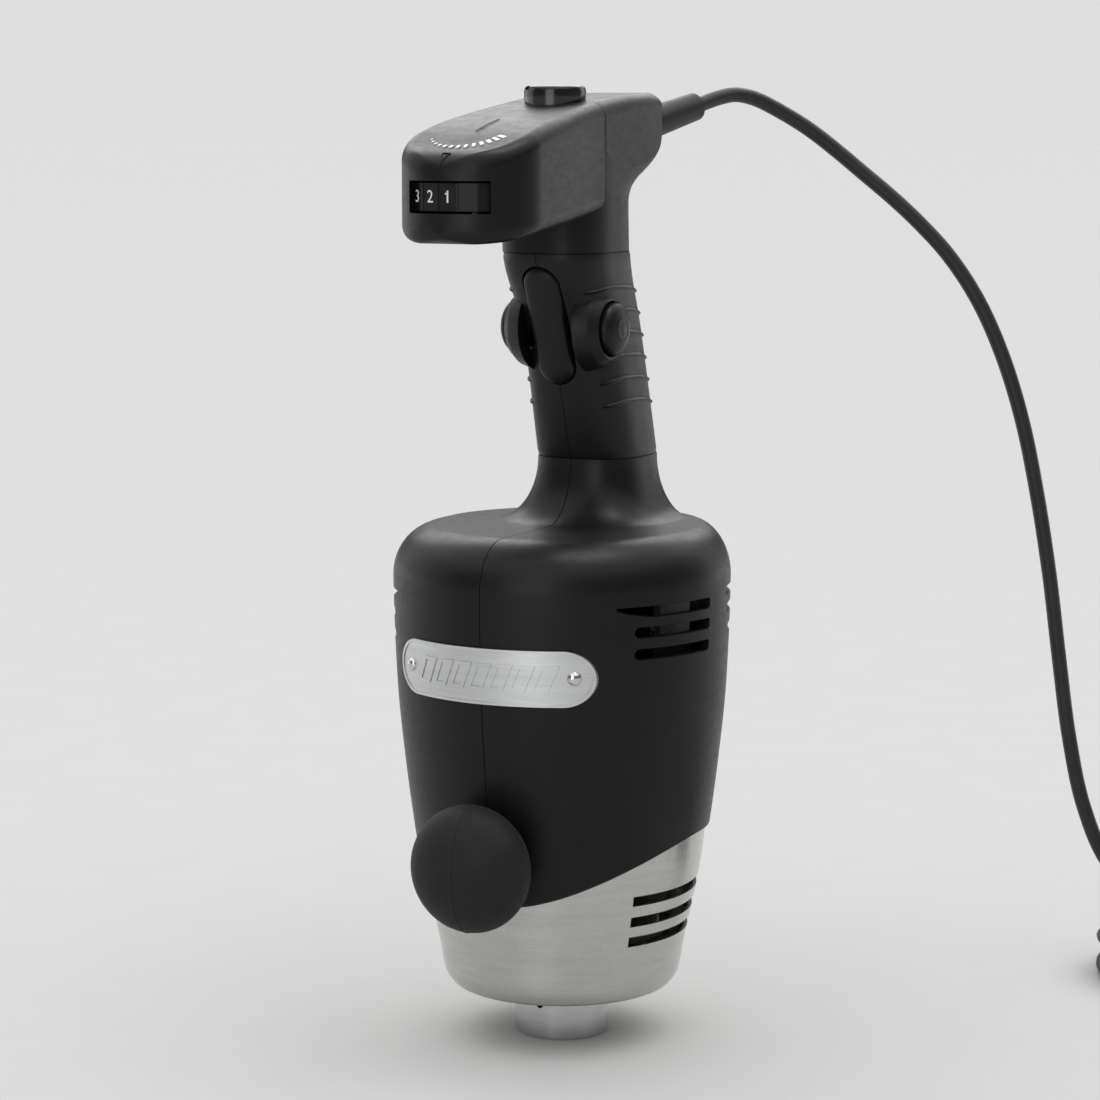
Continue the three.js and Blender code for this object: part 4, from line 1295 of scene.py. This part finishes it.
@dataclass
class MotorHousing:
    """The black housing in two halves, with its vents."""

    shop: Workshop
    grip: GripSection
    skirt: Skirt
    wall: float = 3.0
    shoulder: float = 188.0
    flat: float = 207.5
    neck: float = 233.0
    vent_tall: float = 4.0
    vents: tuple[Point, ...] = ((181, 46, 87), (173, 52.5, 87), (164.5, 52.5, 87),
                                (183, 102, 140), (176, 104, 140), (167.5, 106, 140))
    radius: Track = field(default_factory=lambda: Track(
        (62, 55.9), (84.5, 59.4), (113, 63.1), (143, 66), (173, 67.3), (188, 67.6)))

    def edge(self, angle: float) -> float:
        """Height of the lower edge, which dips at the front."""
        return 62.5 + 24.5 * smooth(min(angle, 360 - angle) / 95)

    def side(self, angle: float, z: float, inset: float) -> Point:
        """A point on the housing's side."""
        return polar(self.radius(z) - inset, angle, z)

    def over(self, angle: float, step: float, inset: float) -> Point:
        """A point on the shoulder, which runs in over a flat top and up a fillet to the neck."""
        low = self.side(angle, self.shoulder, inset)
        neck = self.grip.point(angle, self.neck, inset)
        reach = math.hypot(low[0] - neck[0], low[1] - neck[1])
        flat = self.flat - inset
        rounding, fillet = min(19.0, reach * 0.45), min(19.0, reach * 0.5)
        turn = math.pi / 2 * (step if step <= 1 else step - 1)
        if step <= 1:
            inward = rounding * (1 - math.cos(turn))
            z = self.shoulder + (flat - self.shoulder) * math.sin(turn)
        else:
            inward = reach - fillet * (1 - math.sin(turn))
            z = flat + (self.neck - flat) * (1 - math.cos(turn))
        x, y, _ = lerp(low, neck, inward / reach)
        return x, y, z

    def rings(self, inset: float) -> list[Ring]:
        """The housing's outlines from the lower edge to the neck."""
        around = [360 * i / ROUND for i in range(ROUND)]
        made = []
        for t in (0.0, 0.008, 0.02, 0.1, 0.2, 0.3, 0.4, 0.5, 0.6, 0.7, 0.8, 0.9, 1.0):
            ring = []
            for angle in around:
                z = self.edge(angle) + (113 - self.edge(angle)) * t
                room = self.radius(z) - self.skirt.radius(z) - 0.3
                if inset:
                    step_in = min(inset, room) if z < self.skirt.rim + 2 else inset
                else:
                    step_in = 0.7 * max(0.0, 1 - t / 0.02)
                ring.append(self.side(angle, z, step_in))
            made.append(ring)
        made += [[self.side(a, z, inset) for a in around] for z in steps(118, self.shoulder, 14)]
        shoulder = [*steps(0.08, 1.0, 12), 1.03, 1.08, *steps(1.15, 2.0, 12)]
        made += [[self.over(a, s, inset) for a in around] for s in shoulder]
        return made

    def lip(self) -> list[Ring]:
        """The small proud lip where the neck meets the grip."""
        return [self.grip.ring(self.neck + 0.12, 0.35), self.grip.ring(self.neck + 0.12, self.wall)]

    def vent_cutter(self) -> Form:
        """Everything that the slots take out of the walls."""
        cutters = Form()
        for index, (z, first, last) in enumerate(self.vents):
            r, full = self.radius(z), self.vent_tall / 2
            span = math.radians(last - first) * r
            for side in (-1, 1):
                rings = []
                for angle in [first + (last - first) * smooth(t) for t in steps(0.0, 1.0, 40)]:
                    ahead = math.radians(angle - first) * r
                    behind = span - ahead
                    taper = 17.0 if index == 0 else 2.0
                    power = 0.6 if index == 0 else 0.5
                    grow = min(1.0, 0.08 + (ahead / taper) ** power) if ahead < taper else 1.0
                    end = math.sqrt(max(0.0, 1 - max(0.0, 1 - behind / 1.6) ** 2)) * 0.5 + 0.5
                    h = full * grow * end
                    rise = full * (1 - grow) * (0.9 if index == 0 else 0.0)
                    rings.append([polar(a, side * angle, z + rise + b) for a, b in (
                        (58.0, -h), (r - 0.55, -h), (r + 1.05, -h - 0.9),
                        (r + 1.05, h + 0.7), (r - 0.35, h), (58.0, h))])
                cutters.add(Form().loft(rings))
        return cutters

    def shell(self) -> Form:
        """The whole housing, hollow and slotted."""
        outer, inner = self.rings(0.0), self.rings(self.wall)
        form = Form().loft([*outer, *self.lip(), *reversed(inner[:-1])], closed=True)
        return form.cut(self.vent_cutter())

    def build(self) -> None:
        """Builds the housing's two halves."""
        halves(self.shop, self.shell(), "motor_housing", "satin_black", BLACK, "housing")


@dataclass
class NamePlate:
    """A pill-shaped plate bent round the housing, with a raised rim, slanted tiles and two rivets."""

    shop: Workshop
    housing: MotorHousing
    low: float = 145.2
    high: float = 167.1
    half: float = 39.7
    thick: float = 1.2
    rivet: float = 32.0

    def band(self, inner: float, outer: float) -> Form:
        """A band round the housing, between two heights over its surface."""
        levels = steps(self.low - 0.1, self.high + 0.1, 6)
        profile = [(self.housing.radius(z) + inner, z) for z in levels]
        profile += [(self.housing.radius(z) + outer, z) for z in reversed(levels)]
        return Form().turn(profile, 360, closed=True)

    def facing(self, outline: Sequence[tuple[float, float]]) -> Form:
        """An outline carried to the front, at the plate's height."""
        made = Form().prism(outline, 30.0, 90.0)
        return made.turned(90.0, "X").shifted(z=(self.low + self.high) / 2)

    def outline(self, inset: float) -> list[tuple[float, float]]:
        """The plate's own outline, drawn in."""
        length = 2 * 67.5 * math.sin(math.radians(self.half)) - 2 * inset
        tall = self.high - self.low - 2 * inset
        return [(y, x) for x, y in stadium(tall, length, 96)]

    def tiles(self) -> Form:
        """A row of slanted tiles with raised borders."""
        made = Form()
        for i in range(7):
            middle = (i - 3) * 8.6
            lean = 2.2
            for grow, keep in ((0.0, True), (1.3, False)):
                w, h = 3.3 - grow, 5.2 - grow
                skew = lean * h / 5.2
                shape = [(middle + w + skew, h), (middle - w + skew, h), (middle - w - skew, -h),
                         (middle + w - skew, -h)]
                if keep:
                    outer = self.facing(shape)
                else:
                    outer = outer.cut(self.facing(shape))
            made.add(outer)
        return made

    def plate(self) -> Form:
        """The plate with its rim and tiles."""
        base = self.band(0.3, 0.3 + self.thick - 0.35).carve(("INTERSECT", self.facing(self.outline(0.0))))
        rim = self.band(0.6, 0.3 + self.thick).carve(
            ("INTERSECT", self.facing(self.outline(0.0))), ("DIFFERENCE", self.facing(self.outline(1.1))))
        tiles = self.band(0.6, 0.3 + self.thick - 0.02).carve(("INTERSECT", self.tiles()))
        return base.joined(rim, tiles)

    def rivet_head(self, side: int) -> Form:
        """A domed rivet head on its shank."""
        face = self.housing.radius(156.5) + 0.9
        form = Form().turn([(0, -7), (1.5, -7), (1.5, 0), (2.8, 0), (2.7, 0.6), (2.2, 1.25), (1.3, 1.75),
                            (0, 1.95)], 40)
        return form.turned(90.0, "X").shifted(y=-face, z=156.5).turned(side * self.rivet)

    def build(self) -> None:
        """Builds the plate and its rivets."""
        self.shop.piece(self.plate(), "pill_plate", "unit", "brushed_plate", PLATE, ["nameplate"])
        for side, word in ((-1, "left"), (1, "right")):
            self.shop.piece(self.rivet_head(side), f"plate_rivet_{word}", "unit", "turned_aluminium", TURNED,
                            [f"rivet_{word}"])


@dataclass
class FrontKnob:
    """The soft round knob that steadies the front."""

    shop: Workshop
    y: float = -75.0
    z: float = 82.0
    wide: float = 25.0
    deep: float = 16.0

    def ball(self) -> Form:
        """A flattened ball that is fuller at its front."""
        profile = []
        for i in range(41):
            turn = math.pi * i / 40
            profile.append((max(0.0, math.sin(turn)) ** 0.94 * self.wide, -math.cos(turn) * self.deep))
        form = Form().turn(profile, 96)
        return form.turned(90.0, "X").shifted(0.0, self.y, self.z)

    def line(self) -> Form:
        """The fine raised line where the mould parted, round the ball from top to bottom."""
        rings = []
        for i in range(96):
            turn = 2 * math.pi * i / 96
            across = math.copysign(abs(math.sin(turn)) ** 0.94, math.sin(turn))
            ring = []
            for reach, side in ((-0.5, -0.5), (0.05, -0.4), (0.32, 0.0), (0.05, 0.4), (-0.5, 0.5)):
                y, z = (self.deep + reach) * math.cos(turn), (self.wide - 0.1 + reach) * across
                ring.append((side, self.y - y, self.z + z))
            rings.append(ring)
        return Form().loft(rings, closed=True)

    def build(self) -> None:
        """Builds the knob."""
        ball = self.ball().joined(self.line())
        self.shop.piece(ball, "soft_knob", "unit", "knob_rubber", KNOB, ["front_knob"])


# ------------------------------------------------------------------------------ grip
@dataclass
class Grip:
    """The grip's two halves, the trigger and the side buttons."""

    shop: Workshop
    section: GripSection
    low: float = 233.3
    high: float = 316.0
    wall: float = 3.0
    trigger_at: tuple[float, float] = (-10.4, 287.7)
    lean: float = 20.5
    trigger_size: tuple[float, float] = (15.5, 50.5)
    button_at: tuple[float, float] = (2.5, 286.0)
    ridges: tuple[float, ...] = (300.7, 291.5, 282.4, 273.2, 264.1, 254.9)

    def ridge(self, angle: float, z: float) -> float:
        """How far the raised lines stand out at a point."""
        turn = min(angle, 360 - angle)
        fade = smooth(turn, 40, 46) * (1 - smooth(turn, 146, 152))
        if not fade:
            return 0.0
        rise = 1.8 * smooth(turn, 42, 84) - 3.8 * smooth(turn, 84, 150)
        gap = min(abs(z - at - rise) for at in self.ridges)
        return 0.85 * fade * math.exp(-(gap / 0.5) ** 2)

    def ring(self, z: float, inset: float) -> Ring:
        """The outside at a height, with the raised lines."""
        return [self.section.point(360 * i / ROUND, z, inset - self.ridge(360 * i / ROUND, z))
                for i in range(ROUND)]

    def paddle(self, rings: Sequence[tuple[float, float]]) -> Form:
        """A stack of drawn-in stadium outlines, placed on the grip's leaning front.

        Args:
            rings: how far each is drawn in, and its height.

        Returns:
            The closed form.
        """
        wide, long = self.trigger_size
        form = Form().loft([[(x, y, h) for x, y in stadium(wide - 2 * d, long - 2 * d, 64)] for d,
                            h in rings])
        form.turned(90.0, "X").turned(self.lean, "X")
        return form.shifted(0.0, *self.trigger_at)

    def about_button(self, profile: Sequence[tuple[float, float]], closed: bool = False) -> Form:
        """A profile turned about the right button's line."""
        return Form().turn(profile, 96, closed).turned(90.0, "Y").shifted(0.0, *self.button_at)

    def shell(self) -> Form:
        """The hollow grip with its button collars and the trigger's opening."""
        levels = [*steps(self.low, 250, 8), *steps(250.4, 306.4, 170), *steps(307.5, self.high, 6)]
        outer = [self.ring(z, 0.3 * (z in (self.low, self.high))) for z in levels]
        inner = [self.section.ring(z, self.wall) for z in reversed(steps(self.low, self.high, 8))]
        form = Form().loft([*outer, *inner], closed=True)
        flare = self.about_button([(10.9, 12.0), (17.4, 12.0), (15.6, 17.2), (14.2, 18.8), (13.0, 20.0),
                                   (12.4, 20.9),
                                   (11.9, 21.2), (11.2, 21.1), (10.9, 20.8)], closed=True)
        bore = self.about_button([(0, 8.9), (10.9, 8.9), (10.9, 34), (0, 34)])
        opening = self.paddle([(-0.5, -14), (-0.5, 12)])
        return form.joined(flare, flare.copy().mirrored()).cut(bore, bore.copy().mirrored(), opening)

    def trigger(self) -> Form:
        """The pillow-shaped trigger."""
        return self.paddle([(0.3, -6), (0, -5.6), (0, 0.6), (0.25, 1.4), (0.8, 2.1), (1.7, 2.6), (2.9, 2.95),
                            (4.4, 3.15), (6.2, 3.25), (7.4, 3.28)])

    def button(self) -> Form:
        """A mushroom button with a raised ring on its crown."""
        crown = self.about_button([(0, 12), (8.2, 12), (8.2, 19.4), (9.3, 20.3), (10.15, 21.0), (10.4, 21.9),
                                   (10.2, 22.9),
                                   (9.5, 23.9), (8.2, 24.8), (6.3, 25.5), (4.2, 25.95), (2.0, 26.2),
                                   (0, 26.28)])
        mark = self.about_button([(4.9, 25.3), (4.75, 25.98), (4.45, 26.1), (4.15, 26.05), (4.0, 25.3)],
                                 closed=True)
        bar = box((25.4, -0.35, -2.2), (26.29, 0.35, 2.2)).shifted(0.0, *self.button_at)
        return crown.joined(mark, bar)

    def build(self) -> None:
        """Builds the grip."""
        halves(self.shop, self.shell(), "grip_moulding", "grip_black", GRIP, "grip")
        self.shop.piece(self.trigger(), "trigger_pad", "trigger", "satin_black", BUTTON, ["trigger"])
        right = self.button()
        self.shop.piece(right.copy().mirrored(), "press_button_left", "side_button_left", "satin_black",
                        BUTTON,
                        ["side_button_left"])
        self.shop.piece(right, "press_button_right", "side_button_right", "satin_black", BUTTON,
                        ["side_button_right"])


# ------------------------------------------------------------------------------ head
@dataclass
class HeadSection:
    """The head's rounded rectangle, which tapers up to a round nose at the front."""

    wheel_y: float = -69.0
    nose: Point = (28.0, 27.55, 88.0)          # half width, depth and the last angle of the nose
    back: float = 50.0
    corner: float = 5.5
    top: Track = field(default_factory=lambda: Track(
        (-97, 348), (-95, 352.5), (-91, 355.5), (-84, 358), (-69, 363.3), (-54.6, 367), (-10, 374.4),
        (20, 377.6), (40, 378.3), (46, 377), (50, 371)))
    bottom: Track = field(default_factory=lambda: Track(
        (-97, 327), (-95, 324), (-91, 322.5), (-84, 323), (-69, 325.4), (-10, 332.5), (28, 342), (38, 347.5),
        (46, 353), (50, 359)))
    width: Track = field(default_factory=lambda: Track(
        (-69, 28), (-54.6, 27.2), (-10, 24), (28, 23.4), (45, 22), (48.6, 19.5), (50, 16.5)))

    def ring(self, y: float, half: float, inset: float, shift: float, floor: float | None = None) -> Ring:
        """The section across the head.

        Args:
            y: where its heights are read.
            half: half its width.
            inset: how far it is drawn in.
            shift: how far it moves along the head.
            floor: the height of its lower side, if it is not the head's own.

        Returns:
            Its points.
        """
        low, high = (floor or self.bottom(y)) + inset, self.top(y) - inset
        half -= inset
        corner = min(self.corner - inset, half * 0.96, (high - low) * 0.45)
        middle = (low + high) / 2
        ring = []
        for a, b in rounded(2 * half, high - low, corner, 12):
            crown = 0.5 * (1 - (a / half) ** 2) if b > 0 else -0.3 * (1 - (a / half) ** 2)
            ring.append((a, y + shift, middle + b + crown * (1 if half > 6 else half / 6)))
        return ring

    def form(self, inset: float = 0.0, floor: float | None = None) -> Form:
        """The whole head, closed, or everything under its top down to a floor."""
        half, deep, last = self.nose
        rings = []
        for angle in reversed(steps(0.0, last, 30)):
            turn = math.radians(angle)
            y = self.wheel_y - deep * math.sin(turn)
            wide = half * math.cos(turn) + inset * (1 - math.cos(turn))
            rings.append(self.ring(y, wide, inset, inset * math.sin(turn), floor))
        rear = [*steps(-65.0, 38.0, 30), 40.5, 43.0, 45.0, 46.6, 47.8, 48.7, 49.4, 49.8, 50.0]
        rings += [self.ring(y, self.width(y), inset, 0.0, floor) for y in rear if y < self.back
                  - inset or not inset]
        return Form().loft(rings)

    def height(self, x: float, y: float) -> float:
        """Height of the head's top near its middle."""
        return self.top(y) + 0.5 * (1 - (x / 26.0) ** 2)


@dataclass
class TopButton:
    """The capped switch on the head: its polished ring and amber cap."""

    shop: Workshop
    section: HeadSection
    y: float = BUTTON_Y

    def bezel(self) -> Form:
        """The polished ring, with a notch at its front left."""
        profile = [(9.6, 373.0), (12.0, 373.0), (12.15, 376.4), (12.15, 378.9), (11.9, 380.1), (11.4, 380.75),
                   (10.8, 380.95), (10.1, 380.75), (9.7, 380.2), (9.6, 379.4)]
        form = Form().turn(profile, 96, closed=True).shifted(y=self.y)
        for vert in form.mesh.verts:
            if vert.co.z < 374.0:
                vert.co.z = self.section.height(vert.co.x, vert.co.y) - 0.6
        notch = box((-1.4, -13.5, 379.4), (1.4, -8.4, 383.0)).turned(-38.0).shifted(y=self.y)
        return form.cut(notch)

    def cap(self) -> Form:
        """The amber dome."""
        profile = [(7.8, 375.2), (9.05, 375.2), (9.08, 378.0), (8.8, 379.0), (8.0, 379.8), (6.2, 380.4),
                   (3.8, 380.7),
                   (0.0, 380.78), (0.0, 379.3), (7.8, 378.5)]
        return Form().turn(profile, 96, closed=False).shifted(y=self.y)

    def build(self) -> None:
        """Builds the ring and the cap."""
        self.shop.piece(self.bezel(), "polished_ring", "unit", "gloss_black", GLOSS, ["button_bezel"])
        cap = self.cap()
        bmesh.ops.holes_fill(cap.mesh, edges=[e for e in cap.mesh.edges if e.is_boundary], sides=0)
        self.shop.piece(cap, "amber_dome", "top_button", "amber_cap", AMBER, ["button_cap"])


@dataclass
class SpeedWheel:
    """The faceted speed wheel with its printed numbers."""

    shop: Workshop
    y: float = -69.0
    low: float = 334.15
    high: float = 345.15
    face: float = 24.95
    ridge: float = 25.5
    facets: int = 20
    first: float = 4.5                         # where the first number is, from the front
    bore: float = 3.3
    digit_size: float = 6.6

    def rim(self) -> Form:
        """The wheel, with a raised line at each corner."""
        pitch = 360 / self.facets
        outline, inner = [], []
        for i in range(self.facets):
            corner = pitch * (i + 0.5) + self.first
            for off, radius in ((-6.2, None), (-1.05, None), (-0.7, self.ridge), (0.7, self.ridge),
                                (1.05, None),
                                (6.2, None)):
                flat = self.face / math.cos(math.radians(pitch / 2 - abs(off)))
                outline.append(polar(radius or flat, corner + off, 0.0)[:2])
                inner.append(polar(self.bore, corner + off, 0.0)[:2])
        levels = ((0.985, self.low), (1.0, self.low + 0.35), (1.0, self.high - 0.35), (0.985, self.high))
        rings = [[(x * grow, y * grow, z) for x, y in outline] for grow, z in levels]
        rings += [[(x, y, z) for x, y in inner] for z in (self.high, self.low)]
        return Form().loft(rings, closed=True).shifted(y=self.y)

    def digits(self) -> Form:
        """The numbers one to nine, round the wheel."""
        made = Form()
        for i in range(9):
            text = bpy.data.curves.new("digit", "FONT")
            text.body, text.size, text.extrude = str(i + 1), self.digit_size, 0.06
            text.align_x, text.align_y, text.resolution_u = "CENTER", "CENTER", 4
            loose = bpy.data.objects.new("digit", text)
            bpy.context.scene.collection.objects.link(loose)
            bpy.context.view_layer.update()
            mesh = bpy.data.meshes.new_from_object(loose.evaluated_get(bpy.context.evaluated_depsgraph_get()))
            digit = Form()
            digit.mesh.from_mesh(mesh)
            bpy.data.objects.remove(loose)
            bpy.data.meshes.remove(mesh)
            bmesh.ops.remove_doubles(digit.mesh, verts=digit.mesh.verts, dist=1e-4)
            if not i:
                digit.add(box((-1.35, -0.25, -0.06), (0.0, 0.25, 0.06)).turned(38.0).shifted(0.1, 1.95))
            digit.turned(90.0, "X").shifted(0.0, -self.face - 0.05, (self.low + self.high) / 2)
            made.add(digit.turned(self.first - i * 360 / self.facets))
        return made.shifted(y=self.y)

    def build(self) -> None:
        """Builds the wheel."""
        self.shop.piece(self.rim(), "faceted_wheel", "speed_wheel", "satin_black", BUTTON, ["speed_wheel"],
                        sharp=20.0)
        self.shop.piece(self.digits(), "wheel_numbers", "speed_wheel", "satin_black", PRINT)


@dataclass
class Head:
    """The head's two shells, with the window, the marks and the seam."""

    shop: Workshop
    section: HeadSection
    grip: GripSection
    lead: MainsLead
    seam: float = -10.0
    wall: float = 1.8
    back: Track = field(default_factory=lambda: Track(
        (316, 29), (335, 27.6), (341, 28.2), (344.5, 31), (348, 37), (351, 42), (354.5, 46.4), (358, 49.2),
        (361, 49.9), (366, 50)))
    flank: Track = field(default_factory=lambda: Track((340, 23.6), (360, 24.4)))
    window: tuple[float, float, float, float] = (-15.6, 18.2, 333.6, 345.7)   # left, right, low, high

    def opening(self) -> Form:
        """What the window takes out."""
        left, right, low, high = self.window
        shape = rounded(right - left, high - low, 0.6, 5)
        middle = (left + right) / 2
        return Form().loft([[(middle + a, y, (low + high) / 2 + b) for a, b in shape]
                            for y in (-112.0, -72.0)])

    def hole(self) -> Form:
        """What the top button takes out."""
        return rod((0, BUTTON_Y, 366), (0, BUTTON_Y, 392), BUTTON_HOLE, count=64)

    def front(self) -> Form:
        """The front cover."""
        shell = self.section.form().kept((0, self.seam - 0.15, 0), (0, -1, 0))
        clear = self.grip.form(315.0, 344.9, -0.25)
        shell.cut(self.section.form(self.wall), clear, self.opening(), self.hole())
        left, right, low, high = self.window
        shell.soften(lambda e: e.calc_face_angle(0.0) > math.radians(55) and all(
            v.co.y < -76 and left - 0.2 < v.co.x < right + 0.2 and low - 0.2 < v.co.z < high + 0.2
            for v in e.verts), 0.22, 2)
        return shell

    def level(self, z: float) -> Ring:
        """The rear shell's outline at a height: the grip's section, which turns into the head's plan."""
        share = smooth(z, 336.0, 356.0)
        power = 2 / (self.grip.power + 2.2 * share)
        wide = self.grip.width(z) + (self.flank(z) - self.grip.width(z)) * share
        front = self.grip.centre(316.0) - self.grip.depth(316.0)
        middle, deep = (self.back(z) + front) / 2, (self.back(z) - front) / 2
        ring = []
        for i in range(ROUND):
            s, c = math.sin(2 * math.pi * i / ROUND), math.cos(2 * math.pi * i / ROUND)
            ring.append((wide * math.copysign(abs(s) ** power, s),
                         middle - deep * math.copysign(abs(c) ** power, c), z))
        return ring

    def rear(self) -> Form:
        """The rear shell, which runs on down to the grip."""
        levels = [*steps(316.3, 336.0, 10), *steps(337.0, 362.0, 34), 370.0, 385.0]
        shell = Form().loft([self.level(z) for z in levels])
        ahead = box((-60, -120, 345.0), (60, self.seam + 0.15, 400))
        way = rod(self.lead.relief_point(-14), self.lead.relief_point(20), 7.4)
        shell.carve(("INTERSECT", self.section.form(floor=300.0)))
        return shell.cut(ahead, self.section.form(self.wall + 0.8), self.grip.form(315.0, 350.0, 3.0),
                         self.hole(), way)

    def bead(self, points: Sequence[tuple[float, float]], radius: float) -> Form:
        """A raised line on the head's top, through places from above."""
        line = [(x, y, self.section.height(x, y)) for x, y in points]
        shape = [(radius * math.cos(math.pi * i / 4), radius * math.sin(math.pi * i / 4)) for i in range(8)]
        return swept(line, lambda i: shape, lambda i: Vector((0, 0, 1)))

    def marks(self) -> Form:
        """The moulded pointer above the window and the crease over the wheel."""
        corners = ((0.0, -96.3), (1.75, -91.2), (-1.75, -91.2), (0.0, -96.3))
        pointer = [self.bead([lerp(a, b, t) for t in steps(0, 1, 9)], 0.2) for a,
                   b in zip(corners, corners[1:])]
        crease = self.bead([(0.0, y) for y in steps(-69.0, -51.0, 12)], 0.18)
        return Form().add(*pointer, crease)

    def scale(self) -> Form:
        """The printed scale, whose strokes grow with the speed."""
        made = Form()
        for i in range(13):
            angle = -60.0 + 10.8 * i
            long, wide = 0.7 + 0.27 * i, 0.42 + 0.032 * i
            rings = []
            for r in steps(16.9, 16.9 - long, 4):
                x, y, _ = polar(r, angle, 0.0)
                ring = []
                for a, b in ((wide, 0.07), (-wide, 0.07), (-wide, -0.3), (wide, -0.3)):
                    dx, dy, _ = polar(a, angle + 90.0, 0.0)
                    px, py = x + dx, y + dy + self.section.wheel_y
                    ring.append((px, py, self.section.height(px, py) + b))
                rings.append(ring)
            made.add(Form().loft(rings))
        return made

    def build(self) -> None:
        """Builds the head."""
        self.shop.piece(self.front(), "head_cover", "unit", "satin_black", BLACK, ["head_front_cover"])
        self.shop.piece(self.rear(), "head_shell", "unit", "satin_black", BLACK, ["head_rear_shell"])
        self.shop.piece(self.marks(), "head_pointer", "unit", "satin_black", BLACK)
        self.shop.piece(self.scale(), "speed_scale", "unit", "satin_black", PRINT)


# ------------------------------------------------------------------------------ inside
@dataclass
class Inside:
    """The parts that show through the vents, or not at all, in their own finishes; the cast parts' dark
    colour is painted shade.
    """

    finishes: dict[str, Finish] = field(default_factory=lambda: {
        "motor_frame": CAST, "stator_core": SHEETS, "rotor_core": SHEETS, "field_coil_left": COPPER,
        "field_coil_right": COPPER, "upper_bracket": CAST, "lower_bracket": CAST, "upper_bearing": STEEL,
        "lower_bearing": STEEL, "shaft_seal": LEAD, "brush_holder_left": BRASS, "brush_holder_right": BRASS,
        "brush_left": CARBON, "brush_right": CARBON, "rotor_shaft": STEEL, "commutator": BARS,
        "cooling_fan": NYLON, "drive_coupling": STEEL,
        "trigger_pin": STEEL, "trigger_switch": DARK, "trigger_spring": STEEL,
        "side_switch": DARK, "side_button_spring_left": STEEL, "side_button_spring_right": STEEL,
        "wheel_spindle": STEEL, "potentiometer": DARK, "control_board": GREEN, "top_button": RED,
        "top_button_spring": STEEL, "top_switch": DARK, "knob_stem": BUTTON})

    def dress(self, nodes: dict[str, bpy.types.Object]) -> None:
        """Gives each carried-over part its finish.

        Args:
            nodes: the CAD nodes by name.
        """
        for name, node in nodes.items():
            if node.hide_render:
                continue
            finish = self.finishes.get(name, DARK)
            node.data.materials.clear()
            node.data.materials.append(finish.material())
            LOG.info("%s: %s, carried over", name, finish.name)


def main() -> None:
    """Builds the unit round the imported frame."""
    logging.basicConfig(level=logging.INFO, format="%(message)s")
    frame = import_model()
    low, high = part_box("coupling_collar")
    Form.axis_y = (low.y + high.y) / 2 / MM
    shop = Workshop()
    Studio().build()
    lead = MainsLead(shop)
    lead.build()
    section, head = GripSection(), HeadSection()
    skirt = Skirt(shop)
    skirt.build()
    housing = MotorHousing(shop, section, skirt)
    housing.build()
    NamePlate(shop, housing).build()
    FrontKnob(shop).build()
    Grip(shop, section).build()
    Head(shop, head, section, lead).build()
    TopButton(shop, head).build()
    SpeedWheel(shop).build()
    Inside().dress(frame["nodes"])
    LOG.info("%d new pieces", len(shop.made))


if __name__ == "__main__":
    main()
